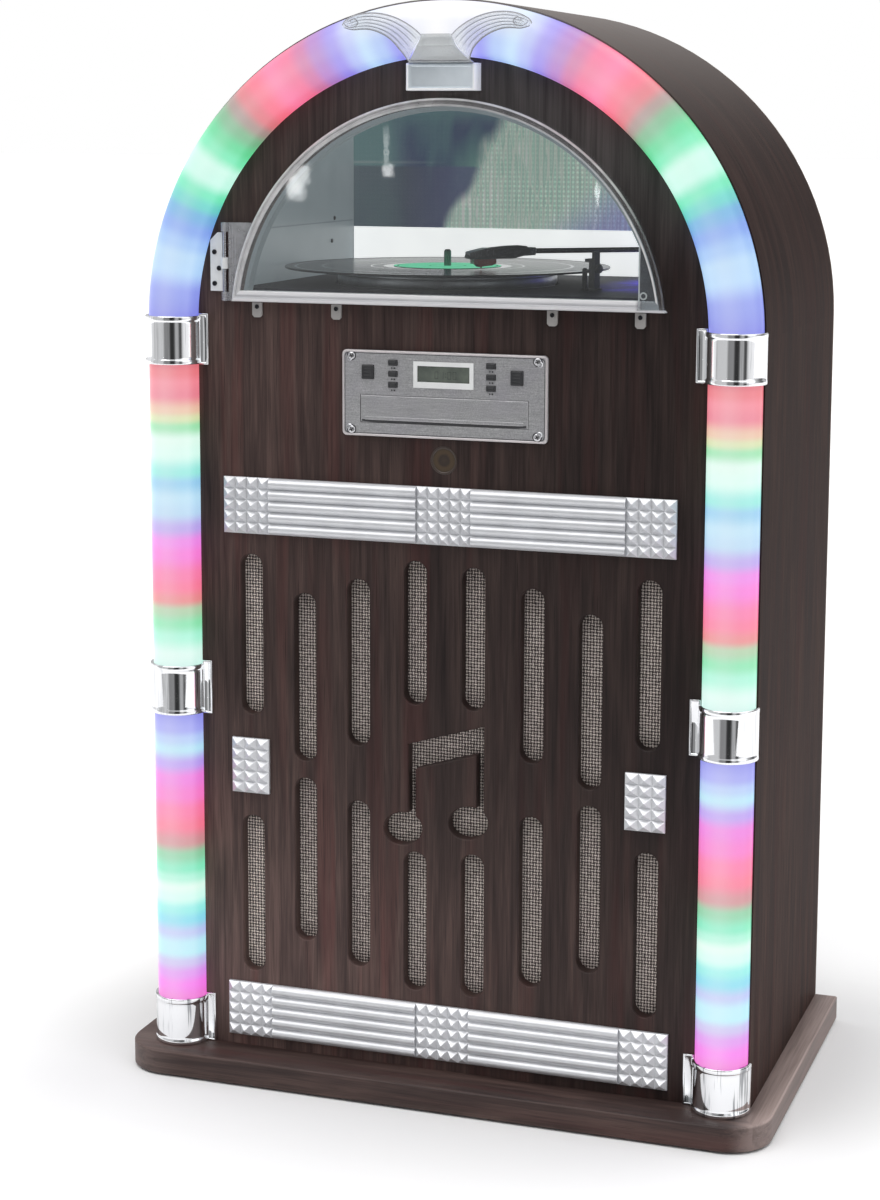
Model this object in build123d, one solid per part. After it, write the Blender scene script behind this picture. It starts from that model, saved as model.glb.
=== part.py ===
from build123d import *
import os
import math

# ---------------------------------------------------------------------------
# Free-standing arched jukebox: record player behind a clear half-moon door,
# disc module with a sliding tray, lit tubes round the front, loudspeakers
# behind a slotted front board.  Millimetres, +Z up, the front faces -Y.
# The drawing frame below has x = 0 on the centre line, y = 0 on the face of
# the front board (positive to the rear) and z = 0 on top of the base board.
# Every piece is moved to the row frame when it is written: the origin is the
# middle of the footprint at floor level.
# ---------------------------------------------------------------------------

# overall cabinet
DEPTH = 312.9            # front board face to rear face
ARCH_Z = 673.0           # height of the arch centre above the base board
R_OUT = 282.3            # outside radius of the arch, half width of the body
WALL = 12.0              # side, arch and front board thickness
R_IN = R_OUT - WALL
BACK_T = 4.0             # rear hardboard
BASE_HALF = 303.6        # base board half width
BASE_FRONT = -41.7       # front edge of the base board
BASE_T = 22.0
BASE_CORNER = 40.0
PAD_T = 2.5              # rubber pads under the base board

# lit tubes
TUBE_R = 23.4            # outside radius of the half-round diffuser
TUBE_T = 2.0
TUBE_PITCH = 257.4       # tube centre line from the cabinet centre line
RING_R = 25.6            # chromed clamp outside radius

# record compartment and its door
OPEN_R = 188.0           # half-moon opening in the front board
OPEN_Z = 702.0
DOOR_R = 199.0
DOOR_Z = 693.5
DOOR_FRONT = -10.0
HINGE_X = -206.0
HINGE_Y = -3.6
LINER_X = 203.5          # inside face of the compartment side walls
SHELF_Z = 672.0
DECK_Z0 = 684.0
DECK_Z = 704.0
BAND_Z = 748.0

# turntable
SP_X, SP_Y = -50.0, 152.0        # spindle
REC_R = 151.0                    # 12 inch record
REC_Z = 720.0                    # top face of the record
SPINDLE_R = 3.4           # free end above the record
SPINDLE_LOW_R = 3.6
BEARING_R = 4.0           # shaft under the platter
PULLEY_OFF = 74.0
RING_BELT_R = 58.0
PULLEY_R = 6.0
BELT_GAP = 0.35
BELT_T = 0.8

# tonearm
ARM_X, ARM_Y, ARM_Z = 150.0, 215.0, 736.0
ARM_L = 187.0                    # pivot to stylus
HEAD_X = ARM_L - 198.7           # the headshell's outline below is drawn for a 198.7 mm arm
ARM_ANG = 215.4                  # heading of the arm, degrees from +X
ARM_REST_ANG = 249.8
ARM_REST_L = 130.0

# disc module
FACE_W, FACE_H = 189.0, 76.0
FACE_Z = 615.9
TRAY_HALF = 77.0
TRAY_Z0, TRAY_Z1 = 590.5, 614.1
TRAY_TRAVEL = 137.0      # brings a 120 mm disc clear of the faceplate
RACK_PITCH_X = -60.0
PINION_TEETH = 16
PINION_R = 8.0
PINION_X, PINION_Y = RACK_PITCH_X - PINION_R, 25.0
HUB_Y = 76.0             # disc centre with the tray shut
TRAY_BACK = 172.0

# front board details: column x, lower z, upper z of every rounded slot
SLOT_W = 21.5
SLOTS = [
    (-184.6, 316.5, 464.9), (-132.7, 277.0, 432.4), (-81.0, 296.0, 448.5), (-27.0, 337.9, 468.1),
    (27.2, 336.8, 465.2), (81.7, 294.0, 450.0), (134.6, 275.0, 430.6), (186.4, 314.5, 464.2),
    (-184.8, 72.8, 221.4), (-132.7, 107.8, 261.2), (-81.2, 89.0, 244.5), (-26.8, 72.8, 202.3),
    (27.4, 72.9, 205.1), (81.7, 89.0, 245.3), (134.8, 108.4, 260.4), (187.0, 73.5, 223.3),
]

# where the drawing frame sits in the row frame
SHIFT = (0.0, -(DEPTH + BASE_FRONT) / 2.0, BASE_T + PAD_T)

REAR = DEPTH - BACK_T            # inside face of the rear hardboard

os.makedirs("parts", exist_ok=True)


# ------------------------------------------------------------------ helpers
def box(x0, x1, y0, y1, z0, z1):
    return Pos((x0 + x1) / 2, (y0 + y1) / 2, (z0 + z1) / 2) * Box(abs(x1 - x0), abs(y1 - y0), abs(z1 - z0))


def cyl_x(y, z, r, x0, x1):
    return Pos((x0 + x1) / 2, y, z) * Rot(0, 90, 0) * Cylinder(r, abs(x1 - x0))


def cyl_y(x, z, r, y0, y1):
    return Pos(x, (y0 + y1) / 2, z) * Rot(90, 0, 0) * Cylinder(r, abs(y1 - y0))


def cyl_z(x, y, r, z0, z1):
    return Pos(x, y, (z0 + z1) / 2) * Cylinder(r, abs(z1 - z0))


def poly_y(pts, y0, y1):
    """Polygon given as (x, z) points, run from y0 to y1."""
    face = make_face(Polyline([(x, y0, z) for x, z in pts], close=True))
    return extrude(face, amount=abs(y1 - y0), dir=(0, 1 if y1 > y0 else -1, 0))


def poly_z(pts, z0, z1):
    face = make_face(Polyline([(x, y, z0) for x, y in pts], close=True))
    return extrude(face, amount=abs(z1 - z0), dir=(0, 0, 1 if z1 > z0 else -1))


def poly_x(pts, x0, x1):
    """Polygon given as (y, z) points, run from x0 to x1."""
    face = make_face(Polyline([(x0, y, z) for y, z in pts], close=True))
    return extrude(face, amount=abs(x1 - x0), dir=(1 if x1 > x0 else -1, 0, 0))


def turned_y(x, z, pts):
    """Profile of (radius, y) points turned about a line along Y."""
    face = make_face(Polyline([(r, y, 0) for r, y in pts], close=True))
    return Pos(x, 0, z) * revolve(face, Axis.Y, 360)


def turned_z(x, y, pts):
    """Profile of (radius, z) points turned about a vertical line."""
    face = make_face(Polyline([(r, 0, z) for r, z in pts], close=True))
    return Pos(x, y, 0) * revolve(face, Axis.Z, 360)


def solids_of(shape):
    if isinstance(shape, (list, tuple, ShapeList)):
        out = []
        for s in shape:
            out += solids_of(s)
        return out
    return list(shape.solids())


def write(name, shape):
    """One STEP per piece, or per group of separate equal pieces."""
    items = solids_of(shape)
    moved = [s.moved(Location(SHIFT)) for s in items]
    out = moved[0] if len(moved) == 1 else Compound(children=moved)
    out.label = name
    export_step(out, "parts/%s.step" % name)


# ------------------------------------------------------------- cabinet shell
base = box(-BASE_HALF, BASE_HALF, BASE_FRONT, DEPTH, -BASE_T, 0)
front_corners = base.edges().filter_by(Axis.Z).sort_by(Axis.Y)[:2]
base = fillet(front_corners, BASE_CORNER)
base = chamfer(base.faces().sort_by(Axis.Z)[-1].edges(), 1.2)
write("base_plinth", base)

pads = [cyl_z(x, y, 15.0, -BASE_T - PAD_T, -BASE_T)
        for x in (-255, 0, 255) for y in (-10, 275)]
write("foot_pads", pads)

REAR_SCREWS = [(s * 276.3, z) for s in (-1, 1) for z in (40, 190, 340, 490, 640)]
REAR_SCREWS += [(276.3 * math.cos(math.radians(a)), ARCH_Z + 276.3 * math.sin(math.radians(a)))
                for a in (30, 60, 90, 120, 150)]
REAR_SCREWS += [(-130, 678), (130, 678)]

side_r = box(R_IN, R_OUT, 0, REAR, 0, ARCH_Z)
side_l = box(-R_OUT, -R_IN, 0, REAR, 0, ARCH_Z)
arch = cyl_y(0, ARCH_Z, R_OUT, 0, REAR) - cyl_y(0, ARCH_Z, R_IN, -1, DEPTH + 1)
arch = arch & box(-400, 400, -1, DEPTH, ARCH_Z, ARCH_Z + 400)
pilots = [cyl_y(x, z, 1.5, REAR - 16, REAR + 1) for x, z in REAR_SCREWS]
for p in pilots:
    c = p.center()
    if c.Z < ARCH_Z:
        if c.X > 200:
            side_r = side_r - p
        elif c.X < -200:
            side_l = side_l - p
    else:
        arch = arch - p
write("left_side_panel", side_l)
write("right_side_panel", side_r)
write("arch_panel", arch)

# front board between the side boards, flush with their front edges
front = box(-R_IN, R_IN, 0, WALL, 0, ARCH_Z) + \
    (cyl_y(0, ARCH_Z, R_IN, 0, WALL) & box(-400, 400, -1, WALL + 1, ARCH_Z - 1, ARCH_Z + 400))
half_moon = cyl_y(0, ARCH_Z, OPEN_R, -5, WALL + 5) & box(-400, 400, -6, WALL + 6, OPEN_Z, ARCH_Z + 400)
front = front - half_moon
front = front - box(-82, 82, -5, WALL + 5, FACE_Z - 32.9, FACE_Z + 33.1)
front = front - cyl_y(-0.4, 559.0, 12.5, -5, WALL + 5)

slots = Sketch() + [Pos(x, (z0 + z1) / 2) * SlotOverall(z1 - z0, SLOT_W, rotation=90) for x, z0, z1 in SLOTS]
note = make_face(Polyline([(-33.6, 301.5), (37.7, 323.1), (37.7, 236.0), (30.7, 236.0), (30.7, 296.6),
                           (-26.4, 279.2), (-26.4, 224.0), (-33.6, 224.0)], close=True))
heads = Sketch() + [Pos(-38.6, 223.0) * Rot(0, 0, 14) * Ellipse(18.6, 15.0),
                    Pos(23.2, 233.8) * Rot(0, 0, 14) * Ellipse(18.8, 15.0)]
cuts = extrude(Plane.XZ.offset(5) * slots, amount=-(WALL + 10))
note_cut = extrude(Plane.XZ.offset(5) * note, amount=-(WALL + 10)) + \
    extrude(Plane.XZ.offset(5) * heads, amount=-(WALL + 10))
front = front - cuts - note_cut
# routed edges of the slots
rim = [e for e in front.edges()
       if abs(e.center().Y) < 0.01 and abs(e.bounding_box().size.Y) < 0.01
       and 60 < e.center().Z < 480 and abs(e.center().X) < 210]
try:
    front = chamfer(rim, 0.8)
except Exception as err:
    print("slot edges left square:", err)

FACE_SCREWS = [(-87.5, FACE_Z - 30.2), (87.5, FACE_Z - 30.2), (-87.5, FACE_Z + 30.4), (87.5, FACE_Z + 30.4)]
HINGE_SCREWS = [(-216.6, 736.6), (-212.2, 722.2), (-216.6, 708.6)]
CLIPS = [-175.8, -100.3, 97.6, 175.0]
CLIP_Z0, CLIP_Z1 = 679.5, 692.6
CLIP_SCREW_Z = 689.0
KEEPER = (187.4, 708.0)
small_screws = [(x, z, 14.0) for x, z in FACE_SCREWS] + [(x, z, 9.0) for x, z in HINGE_SCREWS] + \
    [(x, CLIP_SCREW_Z, 9.0) for x in CLIPS] + [(KEEPER[0], KEEPER[1], 9.0)]
for x, z, _ in small_screws:
    front = front - cyl_y(x, z, 1.4, -1, WALL - 1)
write("front_panel", front)

# rear hardboard with vents and the terminal cut-out
back = box(-R_OUT, R_OUT, REAR, DEPTH, 0, ARCH_Z) + \
    (cyl_y(0, ARCH_Z, R_OUT, REAR, DEPTH) & box(-400, 400, REAR - 1, DEPTH + 1, ARCH_Z - 1, ARCH_Z + 400))
back = back - box(-70, 70, REAR - 1, DEPTH + 1, 66, 146)
vents = Sketch() + [Pos(x, z) * SlotOverall(90, 8) for x in (-170, 170) for z in (90, 110, 130, 150)]
back = back - extrude(Plane.XZ.offset(-REAR + 1) * vents, amount=-8)
for x, z in REAR_SCREWS:
    back = back - cyl_y(x, z, 1.5, REAR - 1, DEPTH + 1)
    back = back - turned_y(x, z, [(0, DEPTH - 2.0), (1.6, DEPTH - 2.0), (3.6, DEPTH + 0.02), (0, DEPTH + 0.02)])
write("back_panel", back)


def screw(x, z, y_head, y_tip, head_r, pan=True):
    """Cross-head screw along Y, the head towards -Y when it sits on the front."""
    d = 1 if y_tip > y_head else -1
    if pan:
        prof = [(0, y_head), (head_r * 0.72, y_head), (head_r, y_head + d * 0.7), (head_r, y_head + d * 1.2),
                (1.35, y_head + d * 1.2), (1.35, y_tip - d * 2.0), (0.2, y_tip), (0, y_tip)]
    else:
        prof = [(0, y_head), (head_r, y_head), (1.35, y_head + d * 2.0), (1.35, y_tip - d * 2.0), (0.2, y_tip), (0, y_tip)]
    s = turned_y(x, z, prof)
    a, b = sorted((y_head - d * 0.5, y_head + d * 0.55))
    s = s - box(x - head_r * 0.62, x + head_r * 0.62, a, b, z - 0.28, z + 0.28)
    s = s - box(x - 0.28, x + 0.28, a, b, z - head_r * 0.62, z + head_r * 0.62)
    return s


screws = [screw(x, z, -4.2, 10.5, 2.7) for x, z in FACE_SCREWS]
screws += [screw(x, z, -3.4, 8.0, 2.2) for x, z in HINGE_SCREWS]
screws += [screw(x, CLIP_SCREW_Z, -3.6, 8.0, 2.0) for x in CLIPS]
screws += [screw(KEEPER[0], KEEPER[1], -0.0, 9.0, 1.39, pan=False)]
screws += [screw(x, z, DEPTH - 0.05, DEPTH - 18.5, 3.5, pan=False) for x, z in REAR_SCREWS]
write("wood_screws", screws)

# ------------------------------------------------------ record compartment
shelf = box(-R_IN + 0.4, R_IN - 0.4, WALL, REAR, SHELF_Z, DECK_Z0)
MOTOR_X, MOTOR_Y = SP_X - PULLEY_OFF, SP_Y
shelf = shelf - cyl_z(MOTOR_X, MOTOR_Y, 19.0, SHELF_Z - 1, DECK_Z0 + 1)
for x in (-130, 130):
    shelf = shelf - cyl_y(x, 678, 1.5, REAR - 15, REAR + 1)
write("deck_shelf", shelf)

wall_h = math.sqrt(R_IN ** 2 - (LINER_X + 3.0) ** 2) + ARCH_Z
walls = [box(s * LINER_X, s * (LINER_X + 3.0), WALL, REAR - 1.5, DECK_Z0, wall_h - 0.05) for s in (-1, 1)]
band = box(-LINER_X, LINER_X, REAR - 2.7, REAR - 1.5, DECK_Z, BAND_Z)
write("bay_liners", walls + [band])
foil = cyl_y(0, ARCH_Z, R_IN - 0.1, REAR - 1.5, REAR) & box(-LINER_X - 3, LINER_X + 3, REAR - 2, REAR + 1, DECK_Z0, ARCH_Z + 400)
write("rear_foil", foil)

# turntable deck: one moulding with the platter well, arm tower and lever boss
deck = box(-LINER_X, LINER_X, WALL + 0.6, REAR - 2.7, DECK_Z0, DECK_Z)
deck = fillet(deck.edges().filter_by(Axis.X).group_by(Axis.Z)[-1].sort_by(Axis.Y)[0], 3.0)
deck = deck - cyl_z(SP_X, SP_Y, 104.0, 697.0, DECK_Z + 1)
deck = deck - cyl_z(SP_X, SP_Y, BEARING_R + 0.05, 685.2, 700.0)
deck = deck - cyl_z(MOTOR_X, MOTOR_Y, 16.6, DECK_Z0 - 1, 694.5)
deck = deck - cyl_z(MOTOR_X, MOTOR_Y, 2.5, 690.0, 700.0)
tower = cyl_z(ARM_X, ARM_Y, 13.0, DECK_Z - 1, ARM_Z - 11.0)
foot = cyl_z(ARM_X, ARM_Y, 19.0, DECK_Z - 1, DECK_Z + 5.0)
boss = box(177.5, 184.0, 191.0, 205.0, DECK_Z - 1, 721.5)
deck = deck + foot + tower + boss
deck = deck - cyl_z(ARM_X, ARM_Y, 2.55, ARM_Z - 27.0, ARM_Z - 10.0)
deck = deck - cyl_x(198.0, 716.0, 2.05, 176.0, 185.0)
write("turntable_deck", deck)

# platter: top plate, outer skirt, belt ring, bearing shaft and centre spindle
plat = turned_z(SP_X, SP_Y, [
    (0, 688.0), (BEARING_R, 688.0), (BEARING_R, 702.5), (12.0, 702.5), (12.0, 711.2), (53.5, 711.2), (53.5, 701.0),
    (RING_BELT_R, 701.0), (RING_BELT_R, 711.2), (93.0, 711.2), (93.0, 700.6), (99.0, 700.6), (100.0, 701.6),
    (100.0, 714.2), (99.0, 715.2), (SPINDLE_LOW_R, 715.2), (SPINDLE_LOW_R, REC_Z), (SPINDLE_R, REC_Z),
    (SPINDLE_R, 733.2), (2.2, 735.0), (0, 735.0)])
write("platter", plat)
mat_prof = [(3.63, 715.2), (96.0, 715.2), (96.0, 717.6), (95.4, 718.2), (3.63, 718.2)]
write("slip_mat", turned_z(SP_X, SP_Y, mat_prof))
rec = turned_z(SP_X, SP_Y, [
    (3.63, 718.2), (REC_R - 0.6, 718.2), (REC_R, 718.7), (REC_R, 719.5), (REC_R - 0.6, 720.0), (REC_R - 3.0, 720.0),
    (REC_R - 4.0, 719.7), (60.0, 719.7), (59.0, 719.6), (50.5, 719.6), (50.0, 720.0), (3.63, 720.0)])
write("vinyl_record", rec)

motor = cyl_z(MOTOR_X, MOTOR_Y, 16.0, 662.0, 694.5) - cyl_z(MOTOR_X, MOTOR_Y, 1.05, 686.0, 695.0)
motor = motor + cyl_z(MOTOR_X, MOTOR_Y, 5.0, 658.0, 662.5)
write("turntable_motor", motor)
pulley = turned_z(MOTOR_X, MOTOR_Y, [
    (0, 688.0), (1.0, 688.0), (1.0, 700.8), (PULLEY_R + 1.2, 700.8), (PULLEY_R + 1.2, 701.8), (PULLEY_R, 702.3),
    (PULLEY_R, 708.2), (PULLEY_R + 1.2, 708.7), (PULLEY_R + 1.2, 709.7), (0, 709.7)])
write("motor_pulley", pulley)


def belt_face(r1, r2):
    phi = math.acos((r1 - r2) / PULLEY_OFF)
    pts = []
    for (cx, cy, r) in ((SP_X, SP_Y, r1), (MOTOR_X, MOTOR_Y, r2)):
        for sgn in (1, -1):
            a = math.pi + sgn * phi
            pts.append((cx + r * math.cos(a), cy + r * math.sin(a)))
    quad = make_face(Polyline([(pts[i][0], pts[i][1], 0) for i in (0, 1, 3, 2)], close=True))
    return Sketch() + [quad, Pos(SP_X, SP_Y) * Circle(r1), Pos(MOTOR_X, MOTOR_Y) * Circle(r2)]


outer = extrude(belt_face(RING_BELT_R + BELT_GAP + BELT_T, PULLEY_R + BELT_GAP + BELT_T), amount=4.6)
inner = extrude(belt_face(RING_BELT_R + BELT_GAP, PULLEY_R + BELT_GAP), amount=4.6)
belt = Pos(0, 0, 702.9) * (outer - inner)
write("drive_belt", belt)

# tonearm, drawn along +X from its pivot and turned to its playing position
ARM = Pos(ARM_X, ARM_Y, ARM_Z) * Rot(0, 0, ARM_ANG)
gim = cyl_z(0, 0, 10.5, -10.6, -7.4) + cyl_z(0, 0, 2.5, -25.5, -10.0)
for s in (-1, 1):
    gim = gim + box(-4.5, 4.5, s * 6.0, s * 9.0, -8.0, 3.4)
gim = gim - Pos(0, 0, 0) * Rot(90, 0, 0) * Cylinder(1.25, 30)
write("arm_gimbal", ARM * gim)

arm = Pos(64, 0, 0) * Rot(0, 90, 0) * Cylinder(2.4, 158)
arm = arm + Pos(-26, 0, 0) * Rot(0, 90, 0) * Cylinder(2.4, 44)
arm = arm + box(-7.0, 7.0, -5.2, 5.2, -4.6, 4.6)
arm = arm + Rot(90, 0, 0) * Cylinder(1.2, 17.6)
arm = arm + Pos(-34, 0, 0) * Rot(0, 90, 0) * Cylinder(10.0, 18)
shell_pts = [(148, -3.6), (154, -5.4), (176, -6.4), (205, -8.6), (211, -8.6), (211.5, 8.6), (205, 8.6), (176, 6.4),
             (154, 5.4), (148, 3.6)]
hs = poly_z(shell_pts, -6.5, 3.2)
hs = hs & poly_x([(-20, -20), (20, -20), (20, 20), (-20, 20)], 140, 215)
hs = hs - poly_y([(192, 4), (215, 4), (215, -1.5), (205, 1.0)], -12, 12)
hs = hs - poly_y([(140, -8), (176, -8), (160, -4.2), (140, -3.4)], -12, 12)
hs = hs + box(200.0, 203.5, -16.0, -8.0, -3.2, -1.8)      # finger lift
arm = arm + Pos(HEAD_X, 0, 0) * hs
write("tonearm", ARM * arm)

cart = box(186.0, 207.0, -6.0, 6.0, -11.2, -6.5)
cart = cart + poly_y([(186.5, -11.2), (205.0, -11.2), (202.0, -13.8), (189.5, -12.6)], -4.5, 4.5)
cart = cart + Pos(198.7, 0, -14.3) * Cone(0.25, 1.3, 2.2)
write("cartridge", ARM * Pos(HEAD_X, 0, 0) * cart)

REST = Pos(ARM_X, ARM_Y, ARM_Z) * Rot(0, 0, ARM_REST_ANG)
rest = box(126.0, 134.0, 0.0, 6.2, -32.0, -3.6) + box(126.0, 134.0, 3.2, 6.2, -5.0, 3.0)
rest = rest + box(126.0, 134.0, -4.5, 6.2, -6.4, -3.6)
rest = rest + cyl_z(130.0, 3.1, 7.0, -32.0, -29.5)
write("arm_rest", REST * rest)

lever = cyl_x(198.0, 716.0, 2.0, 177.7, 186.0) + box(184.6, 188.6, 194.6, 201.4, 712.6, 719.4)
lever = lever + poly_x([(196, 713.6), (164, 716.0), (160, 718.8), (161, 721.2), (165, 720.0), (196, 718.4)], 184.6, 188.6)
write("cue_lever", lever)

# ------------------------------------------------------------- clear door
segment = cyl_y(0, ARCH_Z, DOOR_R, DOOR_FRONT, -0.4) & box(-400, 400, -20, 5, DOOR_Z, ARCH_Z + 400)
hollow = cyl_y(0, ARCH_Z, DOOR_R - 7.5, DOOR_FRONT + 2.5, 5) & box(-400, 400, -20, 6, DOOR_Z + 9.8, ARCH_Z + 400)
door = segment - hollow
top_edge = [e for e in door.edges() if abs(e.center().Y - DOOR_FRONT) < 0.01 and e.bounding_box().size.Y < 0.01]
try:
    door = chamfer(top_edge, 2.0)
except Exception as err:
    print("door edge left square:", err)
flange = box(-202.4, -180.0, -4.0, -0.4, DOOR_Z, 763.0) - \
    cyl_y(0, ARCH_Z, DOOR_R - 7.4, -20, 5)
door = door + flange
for z0, z1 in ((DOOR_Z, 701.4), (754.6, 763.0)):
    door = door + cyl_z(HINGE_X, HINGE_Y, 3.2, z0, z1) + box(HINGE_X, -201.0, -4.0, -0.9, z0, z1)
door = door - cyl_z(HINGE_X, HINGE_Y, 1.45, DOOR_Z - 1, 764.0)
write("clear_door", door)

latch = (cyl_y(0, ARCH_Z, DOOR_R - 7.6, DOOR_FRONT + 2.5, DOOR_FRONT + 4.3)
         & box(175.0, 400, -20, 5, DOOR_Z + 10.0, ARCH_Z + 88.0))
latch = latch + box(184.4, 187.0, DOOR_FRONT + 4.0, -0.6, 705.0, 711.0)
latch = latch + Pos(178.6, DOOR_FRONT + 3.4, 707.5) * Rot(90, 0, 0) * Cylinder(2.4, 3.0)
latch = latch & box(170, 400, DOOR_FRONT + 2.5, 5, 690, 800)
write("latch_plate", latch)

plate = box(-220.6, -208.8, -2.2, 0, 702.0, 754.0)
plate = chamfer(plate.edges().filter_by(Axis.Y).sort_by(lambda e: e.center().X - e.center().Z)[0], 7.0)
plate = plate + cyl_z(HINGE_X, HINGE_Y, 3.2, 722.0, 732.0) + box(-210.0, HINGE_X, -3.0, -0.6, 722.0, 732.0)
plate = plate - cyl_z(HINGE_X, HINGE_Y, 1.4, 700.0, 756.0)
for x, z in HINGE_SCREWS:
    plate = plate - cyl_y(x, z, 1.4, -5, 1)
write("hinge_plate", plate)
write("hinge_pin", cyl_z(HINGE_X, HINGE_Y, 1.4, DOOR_Z + 0.4, 762.4))

clips = []
for x in CLIPS:
    c = box(x - 4.6, x + 4.6, -2.4, 0, CLIP_Z0, CLIP_Z1)
    c = chamfer(c.edges().filter_by(Axis.Y).group_by(Axis.Z)[0], 2.0)
    c = c - cyl_y(x, CLIP_SCREW_Z, 1.4, -5, 1)
    clips.append(c)
write("door_clips", clips)

# -------------------------------------------------------------- lit tubes
HALF = box(-400, 400, -60, 0, -50, 1200)
torus = Torus(TUBE_PITCH, TUBE_R) - Torus(TUBE_PITCH, TUBE_R - TUBE_T)
ring3 = Pos(0, 0, ARCH_Z) * Rot(90, 0, 0) * torus
right_arch = ring3 & box(0.0, 400, -60, 0, ARCH_Z, ARCH_Z + 400)
left_arch = ring3 & box(-400, 0.0, -60, 0, ARCH_Z, ARCH_Z + 400)
write("arch_diffusers", [left_arch, right_arch])
cols = []
for s in (-1, 1):
    for z0, z1 in ((0.5, 338.0), (338.0, ARCH_Z)):
        t = cyl_z(s * TUBE_PITCH, 0, TUBE_R, z0, z1) - cyl_z(s * TUBE_PITCH, 0, TUBE_R - TUBE_T, z0 - 1, z1 + 1)
        cols.append(t & HALF)
write("column_diffusers", cols)

leds = []
for s in (-1, 1):
    strip = box(s * TUBE_PITCH - 5, s * TUBE_PITCH + 5, -1.6, 0, 12, ARCH_Z - 8)
    for i in range(16):
        z = 30 + i * 41.0
        strip = strip + box(s * TUBE_PITCH - 2.5, s * TUBE_PITCH + 2.5, -3.2, -1.5, z - 2.5, z + 2.5)
    leds.append(strip)
arc = (cyl_y(0, ARCH_Z, TUBE_PITCH + 5, -1.6, 0) - cyl_y(0, ARCH_Z, TUBE_PITCH - 5, -3, 1)) & \
    box(-400, 400, -10, 5, ARCH_Z + 4, ARCH_Z + 400)
for i in range(19):
    a = math.radians(6 + i * (168.0 / 18))
    arc = arc + Pos(TUBE_PITCH * math.cos(a), -2.35, ARCH_Z + TUBE_PITCH * math.sin(a)) * Rot(0, 90 - math.degrees(a), 0) * Box(5, 1.7, 5)
leds.append(arc)
write("led_strips", leds)

rings = []
for s in (-1, 1):
    for z0, z1, tz0, tz1 in ((0.0, 44.5, 0.0, 46.5), (315.2, 361.0, 314.6, 364.0), (636.2, 679.5, 635.6, 681.5)):
        r = (cyl_z(s * TUBE_PITCH, 0, RING_R, z0, z1) - cyl_z(s * TUBE_PITCH, 0, TUBE_R + 0.15, z0 - 1, z1 + 1)) & HALF
        for zz in (z0, z1 - 5.0):
            lip = (cyl_z(s * TUBE_PITCH, 0, RING_R + 0.9, zz, zz + 5.0) - cyl_z(s * TUBE_PITCH, 0, RING_R - 1.0, zz - 1, zz + 6.0)) & HALF
            r = r + lip
        a, b = sorted((s * 223.6, s * (TUBE_PITCH - TUBE_R - 1.2)))
        tab = box(a, b, -3.0, 0, tz0, tz1)
        rings.append(r + tab)
write("clamp_rings", rings)

# ------------------------------------------------------------------ crown
block = box(-32.0, 32.0, -14.0, 0, 877.8, 901.0)
block = chamfer(block.faces().sort_by(Axis.Y)[0].edges(), 2.5)
write("crown_block", block)
neck = poly_x([(-14.0, 901.0), (-1.5, 901.0), (-1.5, 904.6), (-24.6, 908.5), (-24.6, 926.0), (-29.5, 926.0), (-29.5, 910.0)],
              -30.0, 30.0)
neck = neck & poly_y([(-30, 900), (30, 900), (27, 908), (21, 918), (17, 926), (-17, 926), (-21, 918), (-27, 908)], -40, 5)
wing = [(10, 914), (24, 910.5), (34, 911.5), (48, 915.5), (62, 917.5), (74, 916.0), (82, 916.0), (88.5, 920.5), (90.5, 927.5),
        (88.0, 935.0), (81, 940.8), (70, 942.8), (56, 941.5), (42, 937.0), (30, 930.5), (20, 924.5), (10, 922)]
crest = neck
for s in (-1, 1):
    crest = crest + poly_y([(s * x, z) for x, z in wing], -29.5, -24.6)
write("crown_crest", crest)

# ------------------------------------------------- trims on the front board
strips = []
for z1 in (535.3, 61.4):
    t = box(-209.5, 209.5, -7.0, 0, z1 - 51.1, z1)
    strips.append(chamfer(t.faces().sort_by(Axis.Y)[0].edges(), 2.2))
studs = []
for s in (-1, 1):
    t = box(s * 185.7 - 18.1, s * 185.7 + 18.1, -7.0, 0, 243.2, 294.4)
    studs.append(chamfer(t.faces().sort_by(Axis.Y)[0].edges(), 2.2))
write("silver_trims", strips + studs)
write("ir_window", cyl_y(-0.4, 559.0, 12.4, 0.4, 5.0))

# --------------------------------------------------- loudspeakers and cloth
write("grille_cloth", box(-222, 222, WALL, WALL + 1.2, 58, 482))
SPK = [(-112.0, 165.0), (112.0, 165.0)]
TWT = [(-112.0, 402.0), (112.0, 402.0)]
y0 = WALL + 1.2
bas = [turned_y(x, z, [(58.0, y0), (66.0, y0), (66.0, y0 + 3), (61.0, y0 + 3), (61.0, y0 + 10), (34.0, y0 + 38), (34.0, y0 + 42),
                       (42.0, y0 + 42), (42.0, y0 + 62), (0, y0 + 62), (0, y0 + 44), (28.0, y0 + 44), (28.0, y0 + 37),
                       (58.0, y0 + 9)])
       for x, z in SPK]
write("woofer_baskets", bas)
con = [turned_y(x, z, [(0, y0 + 16), (14, y0 + 19), (18, y0 + 27), (48, y0 + 6.5), (53, y0 + 4.4), (57.4, y0 + 0.4), (57.9, y0 + 0.4),
                       (54, y0 + 6.0), (49, y0 + 8.4), (22, y0 + 29.5), (13, y0 + 32), (13, y0 + 43), (11.5, y0 + 43),
                       (11.5, y0 + 30), (0, y0 + 26)])
       for x, z in SPK]
write("woofer_cones", con)
twt = [turned_y(x, z, [(0, y0 + 2), (10, y0 + 3.5), (13, y0 + 5), (22, y0), (27, y0), (27, y0 + 4), (18, y0 + 10), (18, y0 + 24),
                       (0, y0 + 24)]) for x, z in TWT]
write("tweeters", twt)

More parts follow.
